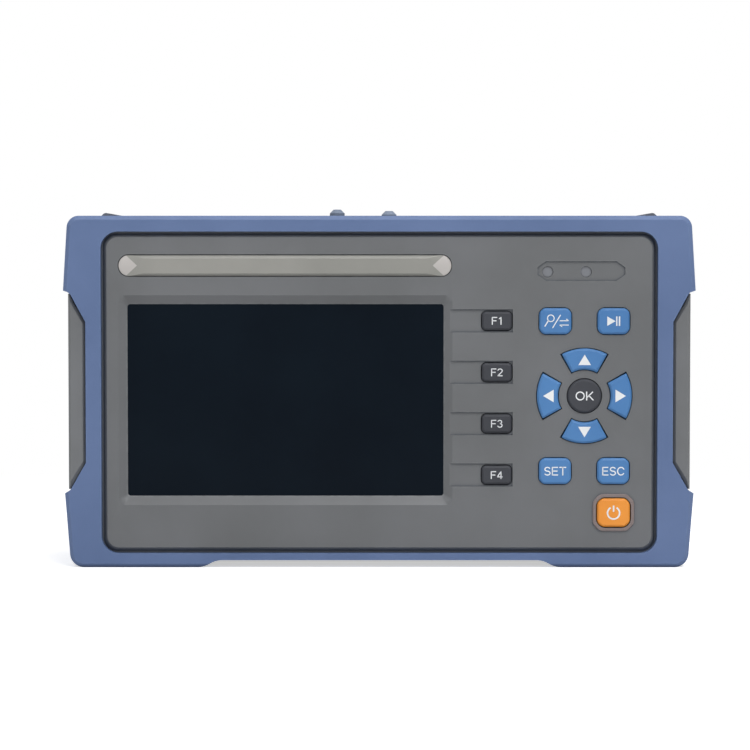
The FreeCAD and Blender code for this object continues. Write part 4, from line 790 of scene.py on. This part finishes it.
for nodeName, kind in screwHeads.items():
    first = crossHead(kind["radius"], kind["thick"])
    heads = []
    for number, (across, other) in enumerate(kind["spots"]):
        head = copyOf(first.data)
        spot = [value * mm for value in kind["top"]]
        spot[0] = across * mm
        spot[3 - kind["facing"]] = other * mm
        head.rotation_euler = [math.radians(angle) for angle in kind["turn"]]
        head.rotation_euler.rotate_axis("Z", cross["turn"] + number)
        head.location = spot
        settle()
        heads.append(head)
    fasten(joined(heads), nodeName + "_heads", nodeName, "screw_steel", True)
    bpy.data.objects.remove(first)
print("screw heads made")

# ribs round the caps, ferrules in the ports, contacts and pin in the sockets
ports = {"otdr": -15.2, "vfl": 3.6}
portLine = 7.0
capRibs = {"count": 22, "radius": 4.8, "width": 0.55, "proud": 0.2, "root": 0.3,
           "low": 110.6, "high": 115.8, "soften": 0.15}
ferrule = {"radius": 1.1, "low": 104.0, "high": 113.8, "soften": 0.25, "bore": 0.35}
usbContacts = {"middle": (41.5, 1.2), "offsets": (-3.5, -1.0, 1.0, 3.5), "width": 1.0,
               "sunk": 0.02, "thick": 0.08, "low": 109.5, "high": 116.6, "soften": 0.03}
jackPin = {"middle": (67.0, 3.2), "radius": 1.2, "low": 108.7, "high": 117.4, "soften": 0.5}
boreDepth = 3  # in bore radii


def block(low, high, soften):
    clear()
    bpy.ops.mesh.primitive_cube_add(size=1, location=[(a + b) / 2 * mm for a, b in zip(low, high)])
    piece = bpy.context.object
    piece.scale = [(b - a) * mm for a, b in zip(low, high)]
    settle()
    bpy.ops.object.mode_set(mode="EDIT")
    bpy.ops.mesh.select_all(action="SELECT")
    bpy.ops.mesh.bevel(offset=soften * mm, segments=2, affect="EDGES")
    bpy.ops.object.mode_set(mode="OBJECT")
    return piece


def post(middle, radius, low, high, soften, bore=0):
    clear()
    bpy.ops.mesh.primitive_cylinder_add(
        vertices=36, radius=radius * mm, depth=(high - low) * mm,
        location=(middle[0] * mm, middle[1] * mm, (low + high) / 2 * mm))
    piece = bpy.context.object
    settle()
    bpy.ops.object.mode_set(mode="EDIT")
    pick(piece, "FACE", lambda face: face.normal.z > facesUp)
    bpy.ops.mesh.bevel(offset=soften * mm, segments=4, affect="EDGES")
    if bore:
        pick(piece, "FACE", lambda face: face.normal.z > 0.99)
        bpy.ops.mesh.inset(thickness=(radius - soften - bore) * mm)
        bpy.ops.mesh.extrude_region_move(
            TRANSFORM_OT_translate={"value": (0, 0, -bore * boreDepth * mm)})
    bpy.ops.object.mode_set(mode="OBJECT")
    return keepFlat(piece, turnedSmooth)


def copyTurned(first, middle, degrees):
    piece = copyOf(first.data)
    centre = Vector((middle[0] * mm, middle[1] * mm, 0))
    turn = math.radians(degrees)
    piece.rotation_euler = (0, 0, turn)
    piece.location = centre - Vector((centre.x * math.cos(turn) - centre.y * math.sin(turn),
                                      centre.x * math.sin(turn) + centre.y * math.cos(turn), 0))
    settle()
    return piece


for portName, across in ports.items():
    front, half = portLine - capRibs["radius"], capRibs["width"] / 2
    first = block((across - half, front - capRibs["proud"], capRibs["low"]),
                  (across + half, front + capRibs["root"], capRibs["high"]), capRibs["soften"])
    ribs = [copyTurned(first, (across, portLine), 360 * number / capRibs["count"])
            for number in range(1, capRibs["count"])]
    fasten(keepFlat(joined([first] + ribs)), portName + "_cap_ribs", portName + "_dust_cap",
           "cap_rubber")
    tube = post((across, portLine), **ferrule)
    fasten(tube, portName + "_ferrule", portName + "_adapter", "ferrule_ceramic")

middle, half = usbContacts["middle"], usbContacts["width"] / 2
first = block((middle[0] - half, middle[1] - usbContacts["sunk"], usbContacts["low"]),
              (middle[0] + half, middle[1] + usbContacts["thick"], usbContacts["high"]),
              usbContacts["soften"])
contacts = []
for offset in usbContacts["offsets"]:
    contact = copyOf(first.data)
    contact.location = (offset * mm, 0, 0)
    settle()
    contacts.append(contact)
bpy.data.objects.remove(first)
strips = fasten(joined(contacts), "usb_contacts", "usb_socket", "contact_gold")
pin = fasten(post(**jackPin), "jack_pin", "dc_jack", "contact_gold")
print("port details made")


# the keys' rounding; the arrow keys' sharper corners are rounded too
keyEdge = {"width": 0.17, "corners": [(1, 1.5)]}
arrowEdge = {"width": 0.17, "corners": [(1, 0.8)], "sharpest": 140}
arrowKeys = ("key_up", "key_down", "key_left", "key_right")

for nodeName in sorted(nodes):
    if nodeName.startswith("key_") and bodyOf[nodeName] == nodeName:
        piece = rounded(mergedCopy(nodeName), **(arrowEdge if nodeName in arrowKeys else keyEdge))
        fasten(piece, nodeName + "_cap", nodeName, None, True)


# letters as strokes in a box one high: bars from point to point, and parts of rings
letters = {
    "F": (0.66, [("bar", (0.07, 0), (0.07, 1)), ("bar", (0.07, 0.94), (0.64, 0.94)),
                 ("bar", (0.07, 0.51), (0.56, 0.51))]),
    "E": (0.7, [("bar", (0.07, 0), (0.07, 1)), ("bar", (0.07, 0.94), (0.66, 0.94)),
                ("bar", (0.07, 0.51), (0.61, 0.51)), ("bar", (0.07, 0.06), (0.68, 0.06))]),
    "T": (0.72, [("bar", (0.36, 0), (0.36, 1)), ("bar", (0.0, 0.94), (0.72, 0.94))]),
    "K": (0.72, [("bar", (0.07, 0), (0.07, 1)), ("bar", (0.1, 0.33), (0.66, 0.98)),
                 ("bar", (0.27, 0.55), (0.7, 0.02))]),
    "O": (0.86, [("ring", (0.43, 0.5), 0.37, 0.44, 0, 360)]),
    "C": (0.8, [("ring", (0.42, 0.5), 0.36, 0.44, 118, 425)]),
    "S": (0.7, [("ring", (0.35, 0.725), 0.26, 0.215, -180, 75),
                ("ring", (0.35, 0.275), 0.28, 0.225, 0, 255)]),
    "1": (0.5, [("bar", (0.34, 0), (0.34, 1)), ("bar", (0.34, 0.94), (0.1, 0.74))]),
    "2": (0.66, [("ring", (0.33, 0.7), 0.26, 0.24, -85, 118), ("bar", (0.57, 0.6), (0.08, 0.07)),
                 ("bar", (0.03, 0.06), (0.63, 0.06))]),
    "3": (0.66, [("ring", (0.31, 0.735), 0.23, 0.205, -80, 180),
                 ("ring", (0.32, 0.285), 0.26, 0.23, 0, 260)]),
    "4": (0.68, [("bar", (0.47, 0), (0.47, 1)), ("bar", (0.47, 0.96), (0.05, 0.3)),
                 ("bar", (0.02, 0.27), (0.66, 0.27))]),
}

# words and marks on the keys, with their size in millimetres
legends = {
    "key_f1": {"words": "F1", "size": (3.7, 2.7)},
    "key_f2": {"words": "F2", "size": (4.1, 2.7)},
    "key_f3": {"words": "F3", "size": (4.1, 2.7)},
    "key_f4": {"words": "F4", "size": (4.2, 2.7)},
    "key_ok": {"words": "OK", "size": (6.3, 3.1)},
    "key_set": {"words": "SET", "size": (7.7, 3.0)},
    "key_esc": {"words": "ESC", "size": (7.8, 3.0)},
    "key_up": {"marks": [("triangle", (0, 0), 4.4, 3.65, 0)], "shift": (0, 0.1)},
    "key_down": {"marks": [("triangle", (0, 0), 4.4, 3.65, 180)], "shift": (0, -0.1)},
    "key_left": {"marks": [("triangle", (0, 0), 4.4, 3.65, 90)], "shift": (-0.1, 0)},
    "key_right": {"marks": [("triangle", (0, 0), 4.4, 3.65, -90)], "shift": (0.1, 0)},
    "key_play": {"marks": [("triangle", (-0.85, 0), 3.3, 2.9, -90),
                           ("bar", (1.0, -1.65), (1.0, 1.65), 0.45),
                           ("bar", (1.95, -1.65), (1.95, 1.65), 0.5)]},
    "key_power": {"marks": [("ring", (0, -0.1), 2.1, 2.1, 0.55, 30, 330),
                            ("bar", (0, 0.35), (0, 2.5), 0.55)]},
    "key_zoom": {"marks": [("ring", (-1.75, 1.0), 1.15, 1.15, 0.34, 0, 360),
                           ("bar", (-2.6, 0.2), (-3.85, -1.85), 0.4),
                           ("bar", (1.65, 2.2), (-1.15, -2.4), 0.36),
                           ("bar", (1.35, 0.15), (4.4, 0.15), 0.3),
                           ("bar", (4.5, 0.15), (3.6, 0.75), 0.3),
                           ("bar", (1.4, -1.35), (4.5, -1.35), 0.3),
                           ("bar", (1.3, -1.35), (2.2, -1.95), 0.3)], "shift": (0.1, 0)},
}
makers = {"bar": bar, "ring": ring, "triangle": triangle}
strokeWidth = 0.13  # strokes and gaps as shares of a letter's height
letterSpace = 0.1
legendThick = 0.08


def lettering(words, width, height):
    total = sum(letters[letter][0] for letter in words) + letterSpace * (len(words) - 1)
    scaleX, pieces, at = width / total, [], 0.0
    for letter in words:
        wide, strokes = letters[letter]
        for kind, spot, *numbers in strokes:
            def placed(point):
                return ((at + point[0] - total / 2) * scaleX, (point[1] - 0.5) * height)
            if kind == "bar":
                pieces.append(bar(placed(spot), placed(numbers[0]), strokeWidth * height))
            else:
                pieces.append(ring(placed(spot), numbers[0] * scaleX, numbers[1] * height,
                                   strokeWidth * height, *numbers[2:]))
        at += wide + letterSpace
    return joined(pieces)


for nodeName, legend in legends.items():
    low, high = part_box(nodeName)
    middle = ((low.x + high.x) / 2 / mm, (low.z + high.z) / 2 / mm)
    if "words" in legend:
        piece = lettering(legend["words"], *legend["size"])
    else:
        shift = legend.get("shift", (0, 0))
        middle = (middle[0] + shift[0], middle[1] + shift[1])
        piece = joined([makers[kind](*numbers) for kind, *numbers in legend["marks"]])
    applied(piece, "SOLIDIFY", thickness=legendThick * mm, offset=0)
    turnedUpright(piece, middle, low.y)
    fasten(piece, nodeName + "_legend", nodeName, "legend_ink")
print("keys and legends made")

low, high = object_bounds()
